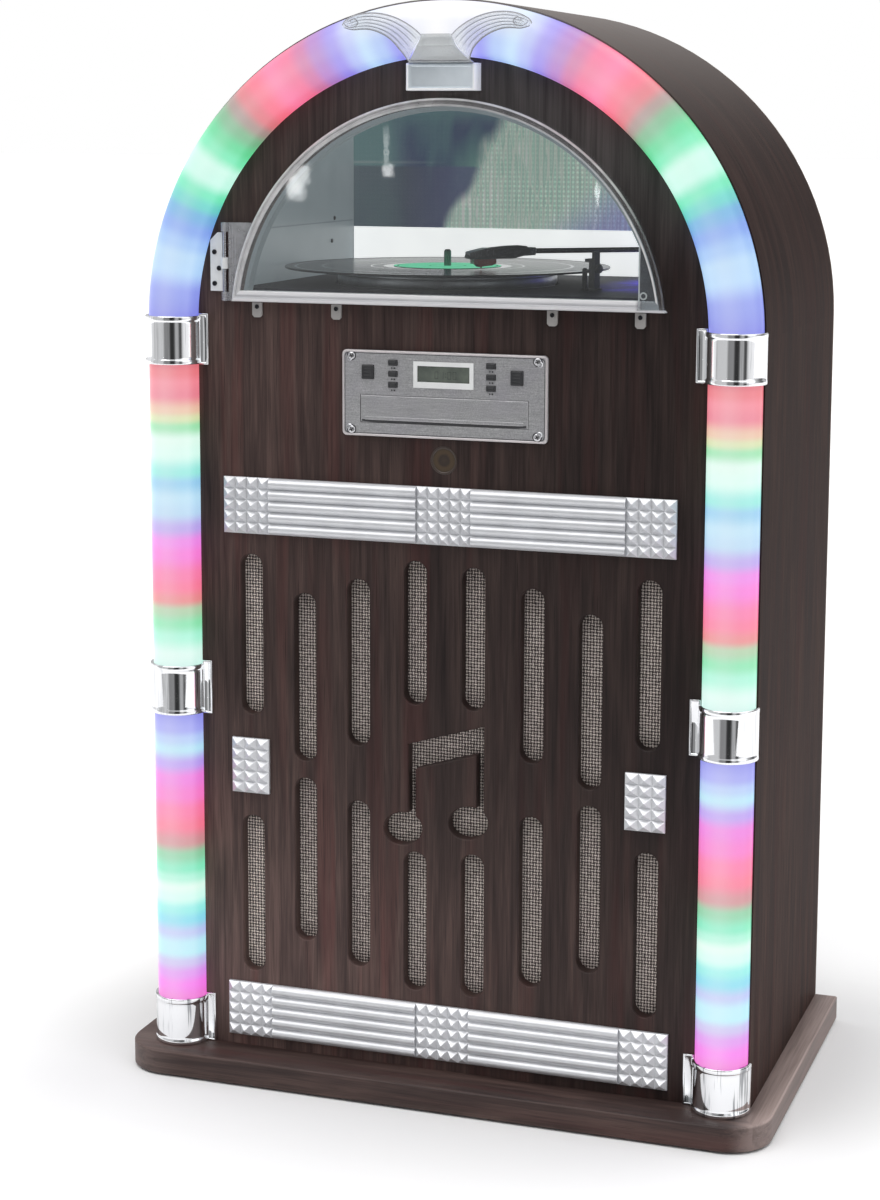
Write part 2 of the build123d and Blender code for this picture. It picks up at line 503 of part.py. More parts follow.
# ------------------------------------------------------------ disc module
face = box(-FACE_W / 2, FACE_W / 2, -3.0, 0, FACE_Z - FACE_H / 2, FACE_Z + FACE_H / 2)
face = fillet(face.edges().filter_by(Axis.Y), 4.0)
face = chamfer(face.faces().sort_by(Axis.Y)[0].edges(), 0.9)
face = face - box(-TRAY_HALF - 0.45, TRAY_HALF + 0.45, -5, 1, TRAY_Z0 - 0.45, TRAY_Z1 + 0.45)
DISP = (-27.6, 27.6, 622.4, 645.4)
face = face - box(DISP[0] + 1.0, DISP[1] - 1.0, -5, 1, DISP[2] + 1.0, DISP[3] - 1.0)
for x, z in FACE_SCREWS:
    face = face - cyl_y(x, z, 1.5, -5, 1)
SMALL = [(x, z) for x in (-46.9, 43.3) for z in (643.4, 633.7, 624.0)]
LARGE = [(-70.2, 634.6), (66.8, 633.8)]
BTN_W, BTN_H, KEY_W, KEY_H = 8.2, 4.6, 11.0, 12.2
for x, z in SMALL:
    face = face - box(x - BTN_W / 2 - 0.3, x + BTN_W / 2 + 0.3, -5, 1, z - BTN_H / 2 - 0.3, z + BTN_H / 2 + 0.3)
for x, z in LARGE:
    face = face - box(x - KEY_W / 2 - 0.3, x + KEY_W / 2 + 0.3, -5, 1, z - KEY_H / 2 - 0.3, z + KEY_H / 2 + 0.3)
write("cd_faceplate", face)

bez = box(DISP[0], DISP[1], -4.0, -3.0, DISP[2], DISP[3]) + \
    box(DISP[0] + 1.0, DISP[1] - 1.0, -3.2, 2.0, DISP[2] + 1.0, DISP[3] - 1.0)
GL = (-24.0, 24.0, 627.6, 641.6)
bez = bez - box(GL[0], GL[1], -6, -1.0, GL[2], GL[3])
bez = bez - box(GL[0] + 1.5, GL[1] - 1.5, -3, 3, GL[2] + 1.5, GL[3] - 1.5)
write("display_bezel", bez)
write("display_glass", box(GL[0], GL[1], -3.0, -1.0, GL[2], GL[3]))


def button(x, z, w, h, r):
    b = box(x - w / 2, x + w / 2, -4.6, 0.6, z - h / 2, z + h / 2)
    b = fillet(b.edges().filter_by(Axis.Y), r)
    b = chamfer(b.faces().sort_by(Axis.Y)[0].edges(), 0.4)
    b = b + box(x - w / 2 - 1.0, x + w / 2 + 1.0, 0.4, 1.4, z - h / 2 - 1.0, z + h / 2 + 1.0)
    return b + cyl_y(x, z, 1.4, 1.2, 4.0)


NAMES = ["left_button_1", "left_button_2", "left_button_3", "right_button_1", "right_button_2", "right_button_3"]
for n, (x, z) in zip(NAMES, SMALL):
    write(n, button(x, z, BTN_W, BTN_H, 1.0))
for n, (x, z) in zip(["standby_key", "function_key"], LARGE):
    write(n, button(x, z, KEY_W, KEY_H, 0.8))

# sheet-metal case of the module, with tray rails, pinion boss and hub stand
HX, HZ0, HZ1, HY1 = 81.6, FACE_Z - 32.5, FACE_Z + 32.7, 176.0
case = box(-HX, HX, 0.2, HY1, HZ0, HZ1) - box(-HX + 1.5, HX - 1.5, -1, HY1 - 1.5, HZ0 + 1.5, HZ1 - 1.5)
fl = HZ0 + 1.4
for s in (-1, 1):
    a, b = sorted((s * 40.0, s * 48.0))
    case = case + box(a, b, 6.0, 150.0, fl, 595.6)
case = case + cyl_z(PINION_X, PINION_Y, 4.0, fl, 590.0) - cyl_z(PINION_X, PINION_Y, 1.05, HZ0 + 0.6, 598.0)
case = case + cyl_z(0, HUB_Y, 15.0, fl, 592.0) - cyl_z(0, HUB_Y, 1.55, 586.0, 593.0)
# board that carries the key switches, standing behind the keys
case = case + box(-79.0, 79.0, 6.0, 7.6, 617.0, HZ1 - 1.4)
write("cd_module_case", case)

tray = box(-TRAY_HALF, TRAY_HALF, -3.4, -0.6, TRAY_Z0, TRAY_Z1)
tray = chamfer(tray.faces().sort_by(Axis.Y)[0].edges(), 0.5)
tray = tray + box(-74.0, 74.0, -1.0, 3.0, 592.5, 605.0)
tray = tray + box(-64.0, 64.0, 1.0, TRAY_BACK, 596.0, 605.0)
tray = tray - cyl_z(0, HUB_Y, 61.0, 602.6, 606.0)
tray = tray - cyl_z(0, HUB_Y, 41.0, 601.6, 606.0)
tray = tray - (cyl_z(0, HUB_Y, 18.0, 590.0, 610.0) + box(-18.0, 18.0, HUB_Y, TRAY_BACK + 5, 590.0, 610.0))
rack_back = box(RACK_PITCH_X + 1.1, RACK_PITCH_X + 5.0, 8.0, TRAY_BACK, 590.6, 596.5)
tray = tray + rack_back
teeth = Sketch()
tooth_list = []
k = -6
while True:
    yc = PINION_Y + (k + 0.5) * math.pi
    k += 1
    if yc < 9.5:
        continue
    if yc > TRAY_BACK - 1.6:
        break
    tooth_list.append(make_face(Polyline([
        (RACK_PITCH_X + 1.2, yc - 0.98, 0), (RACK_PITCH_X - 0.75, yc - 0.32, 0),
        (RACK_PITCH_X - 0.75, yc + 0.32, 0), (RACK_PITCH_X + 1.2, yc + 0.98, 0)], close=True)))
teeth = Sketch() + tooth_list
tray = tray + Pos(0, 0, 590.6) * extrude(teeth, amount=5.8)
write("cd_tray", tray)

gear = Sketch() + Circle(6.75)
for i in range(PINION_TEETH):
    a = 360.0 / PINION_TEETH * i
    gear = gear + Rot(0, 0, a) * make_face(Polyline([
        (6.4, -0.98, 0), (8.75, -0.30, 0), (8.75, 0.30, 0), (6.4, 0.98, 0)], close=True))
pin = Pos(PINION_X, PINION_Y, 590.6) * extrude(gear, amount=4.8)
pin = pin + cyl_z(PINION_X, PINION_Y, 1.0, HZ0 + 0.8, 591.0)
write("tray_pinion", pin)

hub = turned_z(0, HUB_Y, [(0, 587.0), (1.5, 587.0), (1.5, 597.6), (14.0, 597.6), (14.0, 602.4), (7.4, 602.4), (7.4, 604.2),
                          (5.0, 606.2), (0, 606.2)])
write("disc_hub", hub)

# ------------------------------------------------ electronics at the rear
dish = box(-80, 80, REAR - 2.0, REAR, 56, 156) + box(-69.6, 69.6, REAR - 16.0, REAR, 66.4, 145.6)
dish = dish - box(-67.6, 67.6, REAR - 14.0, REAR + 1, 68.4, 143.6)
RCA = [(-52.0, 118.0), (-52.0, 96.0), (-30.0, 118.0), (-30.0, 96.0)]
for x, z in RCA:
    dish = dish - cyl_y(x, z, 4.2, REAR - 20, REAR - 10)
INLET = (12.0, 106.0)
dish = dish - box(INLET[0] - 11.0, INLET[0] + 11.0, REAR - 20, REAR - 10, INLET[1] - 8.0, INLET[1] + 8.0)
SW = (48.0, 106.0)
dish = dish - box(SW[0] - 6.5, SW[0] + 6.5, REAR - 20, REAR - 10, SW[1] - 10.6, SW[1] + 10.6)

jacks = []
for x, z in RCA:
    j = cyl_y(x, z, 4.15, REAR - 26.0, REAR - 5.0) + cyl_y(x, z, 6.4, REAR - 14.0, REAR - 12.5)
    j = j - cyl_y(x, z, 1.7, REAR - 14.0, REAR)
    jacks.append(j)
ix, iz = INLET
inl = box(ix - 10.9, ix + 10.9, REAR - 26.0, REAR - 14.0, iz - 7.9, iz + 7.9) + \
    box(ix - 13.0, ix + 13.0, REAR - 14.0, REAR - 12.0, iz - 10.0, iz + 10.0)
socket = cyl_y(ix - 4.3, iz, 4.3, REAR - 24.0, REAR - 10) + cyl_y(ix + 4.3, iz, 4.3, REAR - 24.0, REAR - 10) + \
    box(ix - 4.3, ix + 4.3, REAR - 24.0, REAR - 10, iz - 3.2, iz + 3.2)
inl = inl - socket
for s in (-1, 1):
    inl = inl + cyl_y(ix + s * 4.3, iz, 1.2, REAR - 24.5, REAR - 16.0)
write("rear_sockets", jacks + [inl])

sx, sz = SW
ROCK_Y = REAR - 17.0
rk = poly_x([(ROCK_Y - 3.0, sz - 8.2), (ROCK_Y + 5.0, sz - 8.9), (ROCK_Y + 3.9, sz), (ROCK_Y + 5.0, sz + 8.9), (ROCK_Y - 3.0, sz + 8.2)],
            sx - 5.6, sx + 5.6)
rk = rk + cyl_x(ROCK_Y, sz, 1.2, sx - 6.7, sx + 6.7)
rk = Pos(0, ROCK_Y, sz) * Rot(-7, 0, 0) * Pos(0, -ROCK_Y, -sz) * rk
write("power_rocker", rk)
fr = box(sx - 7.2, sx + 7.2, REAR - 26.0, REAR - 14.0, sz - 11.2, sz + 11.2) + \
    box(sx - 8.6, sx + 8.6, REAR - 14.0, REAR - 12.4, sz - 12.6, sz + 12.6)
fr = fr - box(sx - 5.9, sx + 5.9, REAR - 24.5, REAR - 10, sz - 10.6, sz + 10.6)
housing = dish + fr - cyl_x(ROCK_Y, sz, 1.25, sx - 6.9, sx + 6.9)
write("terminal_dish", housing)

pcb = box(-75, 75, REAR - 27.6, REAR - 26.0, 60, 160)
amp = pcb + box(-60, 10, REAR - 57.6, REAR - 27.6, 128, 156)
for i in range(8):
    amp = amp - box(-57 + i * 8.4, -53 + i * 8.4, REAR - 58, REAR - 32, 127, 157)
for x, z in ((30, 78), (48, 78), (30, 96)):
    amp = amp + cyl_y(x, z, 7.5, REAR - 52.0, REAR - 27.6)
amp = amp + box(-40, -10, REAR - 33.0, REAR - 27.6, 76, 100)
write("amplifier_board", amp)

tr = box(112, 178, 196, 256, 0, 6) + box(116, 174, 200, 252, 5, 50)
tr = tr + box(126, 164, 188, 264, 10, 45)
write("power_transformer", tr)
print("pieces written:", len(os.listdir("parts")))
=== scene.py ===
import math
import bpy
import bmesh
from mathutils import Matrix, Vector


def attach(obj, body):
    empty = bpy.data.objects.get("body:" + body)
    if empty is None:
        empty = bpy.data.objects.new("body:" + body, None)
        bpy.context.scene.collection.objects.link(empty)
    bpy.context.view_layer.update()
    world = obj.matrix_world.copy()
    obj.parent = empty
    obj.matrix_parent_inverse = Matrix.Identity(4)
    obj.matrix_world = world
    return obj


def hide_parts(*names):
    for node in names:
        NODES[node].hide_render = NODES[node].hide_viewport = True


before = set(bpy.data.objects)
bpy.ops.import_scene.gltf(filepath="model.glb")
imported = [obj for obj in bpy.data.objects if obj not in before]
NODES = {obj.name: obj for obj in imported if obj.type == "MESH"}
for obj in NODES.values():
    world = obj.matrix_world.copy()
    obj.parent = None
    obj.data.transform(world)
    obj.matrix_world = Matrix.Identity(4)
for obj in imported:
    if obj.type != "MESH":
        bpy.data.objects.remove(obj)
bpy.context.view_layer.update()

# ---------------------------------------------------------------------------
# The drawing frame is the cabinet's: millimetres, x = 0 on the centre line,
# y = 0 on the face of the front board, z = 0 on top of the base board.
# ---------------------------------------------------------------------------
ARCH_Z = 673.0
R_OUT = 282.3
TUBE_PITCH = 257.4
TUBE_R = 23.4
DEPTH = 312.9
REAR = 308.9
ZC = (ARCH_Z + 24.5) / 1000.0
DOOR_FOOT = 693.5


def P(x, y, z):
    return (x / 1000.0, (y - 135.6) / 1000.0, (z + 24.5) / 1000.0)


# ------------------------------------------------------------ mesh building
class Build:
    """Vertices in cabinet millimetres, faces with a material number."""

    def __init__(self):
        self.v, self.f, self.m = [], [], []

    def add(self, verts, faces, mat=0):
        b = len(self.v)
        self.v += [P(*p) for p in verts]
        self.f += [tuple(b + i for i in f) for f in faces]
        self.m += [mat] * len(faces)

    def grid(self, rows, mat=0, close_u=False, close_v=False):
        """rows is a list of equal-length point lists; faces join neighbours."""
        n, k = len(rows), len(rows[0])
        faces = []
        for i in range(n if close_u else n - 1):
            for j in range(k if close_v else k - 1):
                i2, j2 = (i + 1) % n, (j + 1) % k
                faces.append((i * k + j, i2 * k + j, i2 * k + j2, i * k + j2))
        self.add([p for r in rows for p in r], faces, mat)

    def tube_loft(self, rings, mat=0, cap=True):
        """Closed rings of points joined in order, with end caps."""
        n, k = len(rings), len(rings[0])
        faces = []
        for i in range(n - 1):
            for j in range(k):
                j2 = (j + 1) % k
                faces.append((i * k + j, i * k + j2, (i + 1) * k + j2, (i + 1) * k + j))
        if cap:
            faces.append(tuple(range(k))[::-1])
            faces.append(tuple((n - 1) * k + j for j in range(k)))
        self.add([p for r in rings for p in r], faces, mat)

    def prism_y(self, pts, y0, y1, mat=0):
        """Polygon of (x, z) points run from y0 to y1."""
        k = len(pts)
        v = [(x, y0, z) for x, z in pts] + [(x, y1, z) for x, z in pts]
        f = [tuple(range(k)), tuple(range(2 * k - 1, k - 1, -1))]
        f += [(i, (i + 1) % k, k + (i + 1) % k, k + i) for i in range(k)]
        self.add(v, f, mat)

    def slab(self, x0, x1, y0, y1, z0, z1, mat=0, b=0.0):
        """Box with its front (low y) edges chamfered by b."""
        if b <= 0:
            v = [(x, y, z) for x in (x0, x1) for y in (y0, y1) for z in (z0, z1)]
            f = [(0, 1, 3, 2), (4, 6, 7, 5), (0, 4, 5, 1), (2, 3, 7, 6), (0, 2, 6, 4), (1, 5, 7, 3)]
            self.add(v, f, mat)
            return
        rings = []
        for d, y in ((0, y1), (0, y0 + b), (b * 0.3, y0 + b * 0.3), (b, y0)):
            rings.append([(x0 + d, y, z0 + d), (x1 - d, y, z0 + d), (x1 - d, y, z1 - d), (x0 + d, y, z1 - d)])
        self.tube_loft(rings, mat)

    def turned(self, prof, place, n=48, mat=0, closed=False):
        """Profile of (radius, height) pairs; place(radius, angle, height) gives the point."""
        rings = []
        for r, h in prof:
            rings.append([place(r, 2 * math.pi * i / n, h) for i in range(n)])
        self.tube_loft(rings, mat, cap=True)

    def make(self, name, mats, body, slot, smooth=32.0, bevel=0.0, replaces=(), subsurf=0):
        me = bpy.data.meshes.new(name)
        me.from_pydata(self.v, [], self.f)
        for m in mats:
            me.materials.append(m)
        me.polygons.foreach_set("material_index", self.m)
        bm = bmesh.new()
        bm.from_mesh(me)
        bmesh.ops.remove_doubles(bm, verts=bm.verts, dist=1e-7)
        bmesh.ops.dissolve_degenerate(bm, dist=1e-8, edges=bm.edges)
        bmesh.ops.recalc_face_normals(bm, faces=bm.faces)
        bm.to_mesh(me)
        bm.free()
        ob = bpy.data.objects.new(name, me)
        bpy.context.scene.collection.objects.link(ob)
        me.shade_smooth()
        if bevel > 0:
            mod = ob.modifiers.new("edge", "BEVEL")
            mod.width = bevel / 1000.0
            mod.segments = 2
            mod.limit_method = "ANGLE"
            mod.angle_limit = math.radians(40)
            mod.harden_normals = False
        if subsurf:
            mod = ob.modifiers.new("sub", "SUBSURF")
            mod.levels = mod.render_levels = subsurf
        me.set_sharp_from_angle(angle=math.radians(smooth))
        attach(ob, body)
        if replaces:
            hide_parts(*replaces)
        return ob


def catmull(pts, n):
    """n points along a smooth curve through pts."""
    out = []
    k = len(pts) - 1
    for i in range(n):
        t = i / (n - 1) * k
        s = min(int(t), k - 1)
        u = t - s
        p0, p1, p2, p3 = (pts[max(s - 1, 0)], pts[s], pts[s + 1], pts[min(s + 2, k)])
        out.append(tuple(0.5 * ((2 * b) + (-a + c) * u + (2 * a - 5 * b + 4 * c - d) * u * u
                                + (-a + 3 * b - 3 * c + d) * u ** 3)
                         for a, b, c, d in zip(p0, p1, p2, p3)))
    return out


# ---------------------------------------------------------------- materials
def lin(r, g, b):
    """Display colour, 0 to 255, as linear light."""
    def one(c):
        c = c / 255.0
        return c / 12.92 if c <= 0.04045 else ((c + 0.055) / 1.055) ** 2.4
    return (one(r), one(g), one(b), 1.0)


class Mat:
    """A node material, written as short calls."""

    def __init__(self, name):
        self.m = bpy.data.materials.new(name)
        self.m.use_nodes = True
        self.t = self.m.node_tree
        self.t.nodes.clear()
        self.out = self.t.nodes.new("ShaderNodeOutputMaterial")
        self._obj = None

    def node(self, kind, **attrs):
        n = self.t.nodes.new(kind)
        for a, v in attrs.items():
            setattr(n, a, v)
        return n

    def put(self, value, socket):
        if isinstance(value, bpy.types.NodeSocket):
            self.t.links.new(value, socket)
        else:
            socket.default_value = value

    @property
    def obj(self):
        if self._obj is None:
            self._obj = self.node("ShaderNodeTexCoord").outputs["Object"]
        return self._obj

    def xyz(self, vec=None):
        s = self.node("ShaderNodeSeparateXYZ")
        self.put(vec or self.obj, s.inputs[0])
        return s.outputs[0], s.outputs[1], s.outputs[2]

    def vec(self, x=0.0, y=0.0, z=0.0):
        c = self.node("ShaderNodeCombineXYZ")
        for v, s in zip((x, y, z), c.inputs):
            self.put(v, s)
        return c.outputs[0]

    def math(self, op, a, b=0.0, c=0.0, clamp=False):
        n = self.node("ShaderNodeMath", operation=op, use_clamp=clamp)
        self.put(a, n.inputs[0])
        self.put(b, n.inputs[1])
        self.put(c, n.inputs[2])
        return n.outputs[0]

    def vmath(self, op, a, b=(0, 0, 0)):
        n = self.node("ShaderNodeVectorMath", operation=op)
        self.put(a, n.inputs[0])
        self.put(b, n.inputs[1])
        return n.outputs[0]

    def length(self, a):
        n = self.node("ShaderNodeVectorMath", operation="LENGTH")
        self.put(a, n.inputs[0])
        return n.outputs["Value"]

    def scaled(self, vec, s):
        n = self.node("ShaderNodeVectorMath", operation="MULTIPLY")
        self.put(vec, n.inputs[0])
        n.inputs[1].default_value = s
        return n.outputs[0]

    def noise(self, vec, scale, detail=3.0, rough=0.55, distort=0.0):
        n = self.node("ShaderNodeTexNoise")
        self.put(vec, n.inputs["Vector"])
        n.inputs["Scale"].default_value = scale
        n.inputs["Detail"].default_value = detail
        n.inputs["Roughness"].default_value = rough
        n.inputs["Distortion"].default_value = distort
        return n.outputs["Fac"]

    def voronoi(self, vec, scale, feature="F1", out="Distance", rand=1.0):
        n = self.node("ShaderNodeTexVoronoi", feature=feature)
        self.put(vec, n.inputs["Vector"])
        n.inputs["Scale"].default_value = scale
        n.inputs["Randomness"].default_value = rand
        return n.outputs[out]

    def span(self, v, a, b, c=0.0, d=1.0, smooth=False):
        n = self.node("ShaderNodeMapRange", clamp=True)
        if smooth:
            n.interpolation_type = "SMOOTHSTEP"
        self.put(v, n.inputs[0])
        for val, s in zip((a, b, c, d), list(n.inputs)[1:5]):
            self.put(val, s)
        return n.outputs[0]

    def ramp(self, fac, stops, mode="LINEAR"):
        n = self.node("ShaderNodeValToRGB")
        cr = n.color_ramp
        cr.interpolation = mode
        stops = sorted(stops, key=lambda s: s[0])
        while len(cr.elements) > 1:
            cr.elements.remove(cr.elements[-1])
        cr.elements[0].position, cr.elements[0].color = stops[0]
        for p, col in stops[1:]:
            cr.elements.new(p).color = col
        self.put(fac, n.inputs[0])
        return n.outputs[0]

    def mix(self, fac, a, b, blend="MIX"):
        n = self.node("ShaderNodeMix", data_type="RGBA", blend_type=blend)
        self.put(fac, n.inputs[0])
        self.put(a, n.inputs[6])
        self.put(b, n.inputs[7])
        return n.outputs[2]

    def bump(self, height, strength=0.3, distance=0.0005, normal=None):
        n = self.node("ShaderNodeBump")
        n.inputs["Strength"].default_value = strength
        n.inputs["Distance"].default_value = distance
        self.put(height, n.inputs["Height"])
        if normal is not None:
            self.put(normal, n.inputs["Normal"])
        return n.outputs[0]

    def shader(self, **kw):
        n = self.node("ShaderNodeBsdfPrincipled")
        names = {"base": "Base Color", "rough": "Roughness", "metal": "Metallic", "normal": "Normal",
                 "emit": "Emission Color", "power": "Emission Strength", "alpha": "Alpha", "ior": "IOR",
                 "glass": "Transmission Weight", "coat": "Coat Weight", "coat_rough": "Coat Roughness",
                 "spec": "Specular IOR Level", "sheen": "Sheen Weight", "sheen_rough": "Sheen Roughness",
                 "aniso": "Anisotropic"}
        for k, v in kw.items():
            self.put(v, n.inputs[names[k]])
        return n

    def done(self, shader):
        self.t.links.new(shader.outputs[0], self.out.inputs[0])
        return self.m


def grain_colours(m, v, warm=1.0, light=1.0):
    """Dark laminate: v has the grain along its z."""
    fine = m.noise(m.scaled(v, (1.0, 1.0, 0.012)), 1500.0, 2.0, 0.6)
    mid = m.noise(m.scaled(v, (1.0, 1.0, 0.030)), 290.0, 3.0, 0.6, 0.6)
    wide = m.noise(m.scaled(v, (1.0, 1.0, 0.10)), 44.0, 2.0, 0.5, 1.2)
    red = m.noise(m.scaled(v, (1.0, 1.0, 0.05)), 62.0, 2.0, 0.5, 0.4)
    a = m.math("MULTIPLY_ADD", mid, 0.62, m.math("MULTIPLY", fine, 0.38))
    a = m.math("MULTIPLY_ADD", wide, 0.45, m.math("MULTIPLY", a, 0.75))
    a = m.math("MULTIPLY_ADD", a, 1.3, -0.185)
    L = light
    base = m.ramp(a, [(0.34, (0.0125 * L, 0.0070 * L, 0.0068 * L, 1)), (0.47, (0.0215 * L, 0.0122 * L, 0.0114 * L, 1)),
                      (0.60, (0.0330 * L, 0.0190 * L, 0.0174 * L, 1)), (0.78, (0.056 * L, 0.0320 * L, 0.0285 * L, 1))])
    tint = m.span(red, 0.48, 0.76, 0.0, 0.48 * warm, smooth=True)
    base = m.mix(tint, base, (0.050 * L, 0.0150 * L, 0.0140 * L, 1))
    base = m.mix(1.0, base, (1.0, 1.10, 1.08, 1), "MULTIPLY")
    pores = m.span(fine, 0.58, 0.70, 0.0, 0.70)
    base = m.mix(pores, base, (0.0056, 0.0042, 0.0041, 1))
    return base, a, fine, pores


def wood(name, vec_of, warm=1.0, light=1.0, rough=0.40, spec=0.42, mouth=False, ledge=False, crown=False, side=False):
    m = Mat(name)
    v = vec_of(m)
    base, a, fine, pores = grain_colours(m, v, warm, light)
    if side:
        # painted light: the side panels are drawn paler towards the base
        x, y, z = m.xyz()
        shade = m.span(z, 0.05, 0.62, 1.52, 1.08, smooth=True)
        base = m.mix(1.0, base, m.vec(shade, m.math("MULTIPLY", shade, 1.01), shade), "MULTIPLY")
    if crown:
        # painted light: the bent panel is drawn paler where it turns over the top, as lit from above
        x, y, z = m.xyz()
        turn = m.math("POWER", m.span(z, 0.760, 0.984, 0.0, 1.0), 3.2)
        base = m.mix(m.math("MULTIPLY", turn, 0.9), base, (0.25, 0.228, 0.216, 1))
    if ledge:
        # painted light: the base board's right-hand margin, most of all on its top face, and its left end are drawn
        # paler, where the light falls on them
        x, y, z = m.xyz()
        up = m.span(z, (-2.6 + 24.5) / 1000, (-0.4 + 24.5) / 1000)
        pale = m.math("MULTIPLY", m.span(x, 0.270, 0.300, 0.0, 1.0, smooth=True), m.math("MULTIPLY_ADD", up, 0.42, 0.54))
        left = m.span(x, -0.300, -0.235, 0.42, 0.0, smooth=True)
        pale = m.math("MAXIMUM", pale, m.math("MULTIPLY", left, 0.55))
        base = m.mix(pale, base, m.mix(m.span(a, 0.3, 0.7), (0.20, 0.148, 0.136, 1), (0.43, 0.338, 0.312, 1)))
    if mouth:
        # painted light and shade: drawn paler towards the hinge side, towards the foot and near the top, darker towards
        # the free side
        x, y, z = m.xyz()
        shade = m.math("MULTIPLY", m.span(x, -0.26, 0.20, 1.95, 0.70, smooth=True), m.span(z, 0.08, 0.62, 1.66, 1.0, smooth=True))
        shade = m.math("MULTIPLY", shade, m.span(z, 0.86, 0.94, 1.0, 1.55, smooth=True))
        # painted shade and light: darker across the middle, a little paler under the door
        part = m.span(x, -0.02, 0.10, 1.0, 0.55, smooth=True)
        mid = m.math("MULTIPLY", m.span(z, 0.14, 0.32, 0.0, -0.36, smooth=True), m.span(z, 0.38, 0.57, 1.0, 0.0, smooth=True))
        under = m.math("MULTIPLY", m.span(z, 0.58, 0.66, 0.0, 0.17, smooth=True), m.span(z, 0.70, 0.76, 1.0, 0.0, smooth=True))
        shade = m.math("MULTIPLY", shade, m.math("MULTIPLY_ADD", m.math("ADD", mid, under), part, 1.0))
        base = m.mix(1.0, base, m.vec(shade, shade, shade), "MULTIPLY")
        # painted light: near the top, most towards the right, the wood is drawn paler and greyer, as lit from above
        top = m.math("MULTIPLY", m.span(z, 0.735, 0.860, 0.0, 1.0, smooth=True), m.span(x, -0.20, 0.12, 0.22, 0.90, smooth=True))
        base = m.mix(top, base, m.mix(m.span(a, 0.3, 0.75), (0.030, 0.0275, 0.027, 1), (0.088, 0.081, 0.079, 1)))
        # the cut edge of the half-moon opening is faced in grey, like the walls behind it
        x, y, z = m.xyz()
        rad = m.length(m.vec(x, 0.0, m.math("SUBTRACT", z, ZC)))
        near = m.math("LESS_THAN", rad, 0.1917)
        high = m.math("GREATER_THAN", z, (695.0 + 24.5) / 1000)
        faced = m.math("MULTIPLY", near, high)
        base = m.mix(faced, base, lin(108, 116, 120))
    r = m.span(a, 0.3, 0.8, rough - 0.05, rough + 0.12)
    h = m.math("SUBTRACT", m.math("MULTIPLY", a, 0.6), m.math("MULTIPLY", pores, 0.8))
    nrm = m.bump(h, 0.22, 0.00035)
    if mouth:
        # painted light: the grey-faced cut edge of the opening glows, as if lit inside the recess
        return m.done(m.shader(base=base, rough=r, normal=nrm, spec=spec, emit=m.mix(faced, (0, 0, 0, 1), lin(104, 111, 114)),
                               power=0.55))
    return m.done(m.shader(base=base, rough=r, normal=nrm, spec=spec))


def v_front(m):
    return m.obj


def v_side(m):
    x, y, z = m.xyz()
    return m.vec(y, x, z)


def v_arch(m):
    x, y, z = m.xyz()
    th = m.math("ARCTAN2", m.math("SUBTRACT", z, ZC), x)
    return m.vec(y, 0.28, m.math("MULTIPLY_ADD", th, 0.2823, ZC))


def v_base(m):
    x, y, z = m.xyz()
    mitre = m.math("GREATER_THAN", m.math("MULTIPLY_ADD", m.math("ADD", y, 0.130), 0.7, x), 0.2675)
    strip = m.math("MULTIPLY", m.math("GREATER_THAN", x, 0.2675), mitre)
    n = m.node("ShaderNodeMix", data_type="VECTOR")
    m.put(strip, n.inputs[0])
    m.put(m.vec(y, z, x), n.inputs[4])
    m.put(m.vec(x, z, y), n.inputs[5])
    return n.outputs[1]


M_FRONT = wood("wood_front", v_front, 1.0, 0.98, 0.44, 0.20, True)
M_SIDE = wood("wood_side", v_side, 0.6, 1.00, 0.55, 0.02, side=True)
M_ARCH = wood("wood_arch", v_arch, 0.6, 1.05, 0.55, 0.02, False, False, True)
M_BASE = wood("wood_base", v_base, 0.8, 1.60, 0.46, 0.25, False, True)


def board(name, c1, c2, scale=500.0, rough=0.75):
    """Pressed fibre or chip board."""
    m = Mat(name)
    n1 = m.noise(m.obj, scale, 5.0, 0.65)
    n2 = m.voronoi(m.obj, scale * 0.55)
    f = m.math("MULTIPLY_ADD", n1, 0.6, m.math("MULTIPLY", n2, 0.4))
    col = m.ramp(f, [(0.25, c1), (0.7, c2)])
    return m.done(m.shader(base=col, rough=rough, normal=m.bump(f, 0.3, 0.0004)))


M_HARDBOARD = board("hardboard", (0.045, 0.026, 0.017, 1), (0.12, 0.072, 0.046, 1), 700.0)
M_CHIP = board("chipboard", (0.16, 0.10, 0.055, 1), (0.42, 0.30, 0.18, 1), 260.0)


def m_chrome():
    m = Mat("chrome")
    smudge = m.noise(m.obj, 55.0, 3.0, 0.6)
    r = m.span(smudge, 0.35, 0.75, 0.035, 0.11)
    fine = m.noise(m.scaled(m.obj, (1, 1, 0.2)), 300.0, 1.0)
    x, y, z = m.xyz()
    # painted reflection: dark vertical streaks round the clamps, strongest on the foot clamps, stand for dark bands
    # reflected in the chrome
    turn = m.math("ARCTAN2", m.math("ADD", y, 0.1356), m.math("SUBTRACT", m.math("ABSOLUTE", x), TUBE_PITCH / 1000.0))
    streak_noise = m.noise(m.vec(turn, m.math("MULTIPLY", z, 1.6), m.math("MULTIPLY", m.math("SIGN", x), 3.0)), 6.5, 3.0, 0.65)
    painted_dark_streaks = m.math("MULTIPLY", m.span(streak_noise, 0.54, 0.66, 0.0, 1.0, smooth=True), m.span(z, 0.080, 0.110, 0.78, 0.22, smooth=True))
    col = m.mix(painted_dark_streaks, (0.88, 0.89, 0.905, 1), (0.20, 0.21, 0.225, 1))
    return m.done(m.shader(base=col, metal=1.0, rough=r, normal=m.bump(fine, 0.02, 0.0001)))


def m_silver(name="silver_plastic", base=(0.74, 0.755, 0.79, 1), metal=0.70, rough=0.27):
    m = Mat(name)
    n2 = m.noise(m.obj, 40.0, 2.0)
    col = m.mix(m.span(n2, 0.3, 0.7), base, tuple(c * 0.9 for c in base[:3]) + (1,))
    return m.done(m.shader(base=col, metal=metal, rough=rough, coat=0.15, coat_rough=0.15))


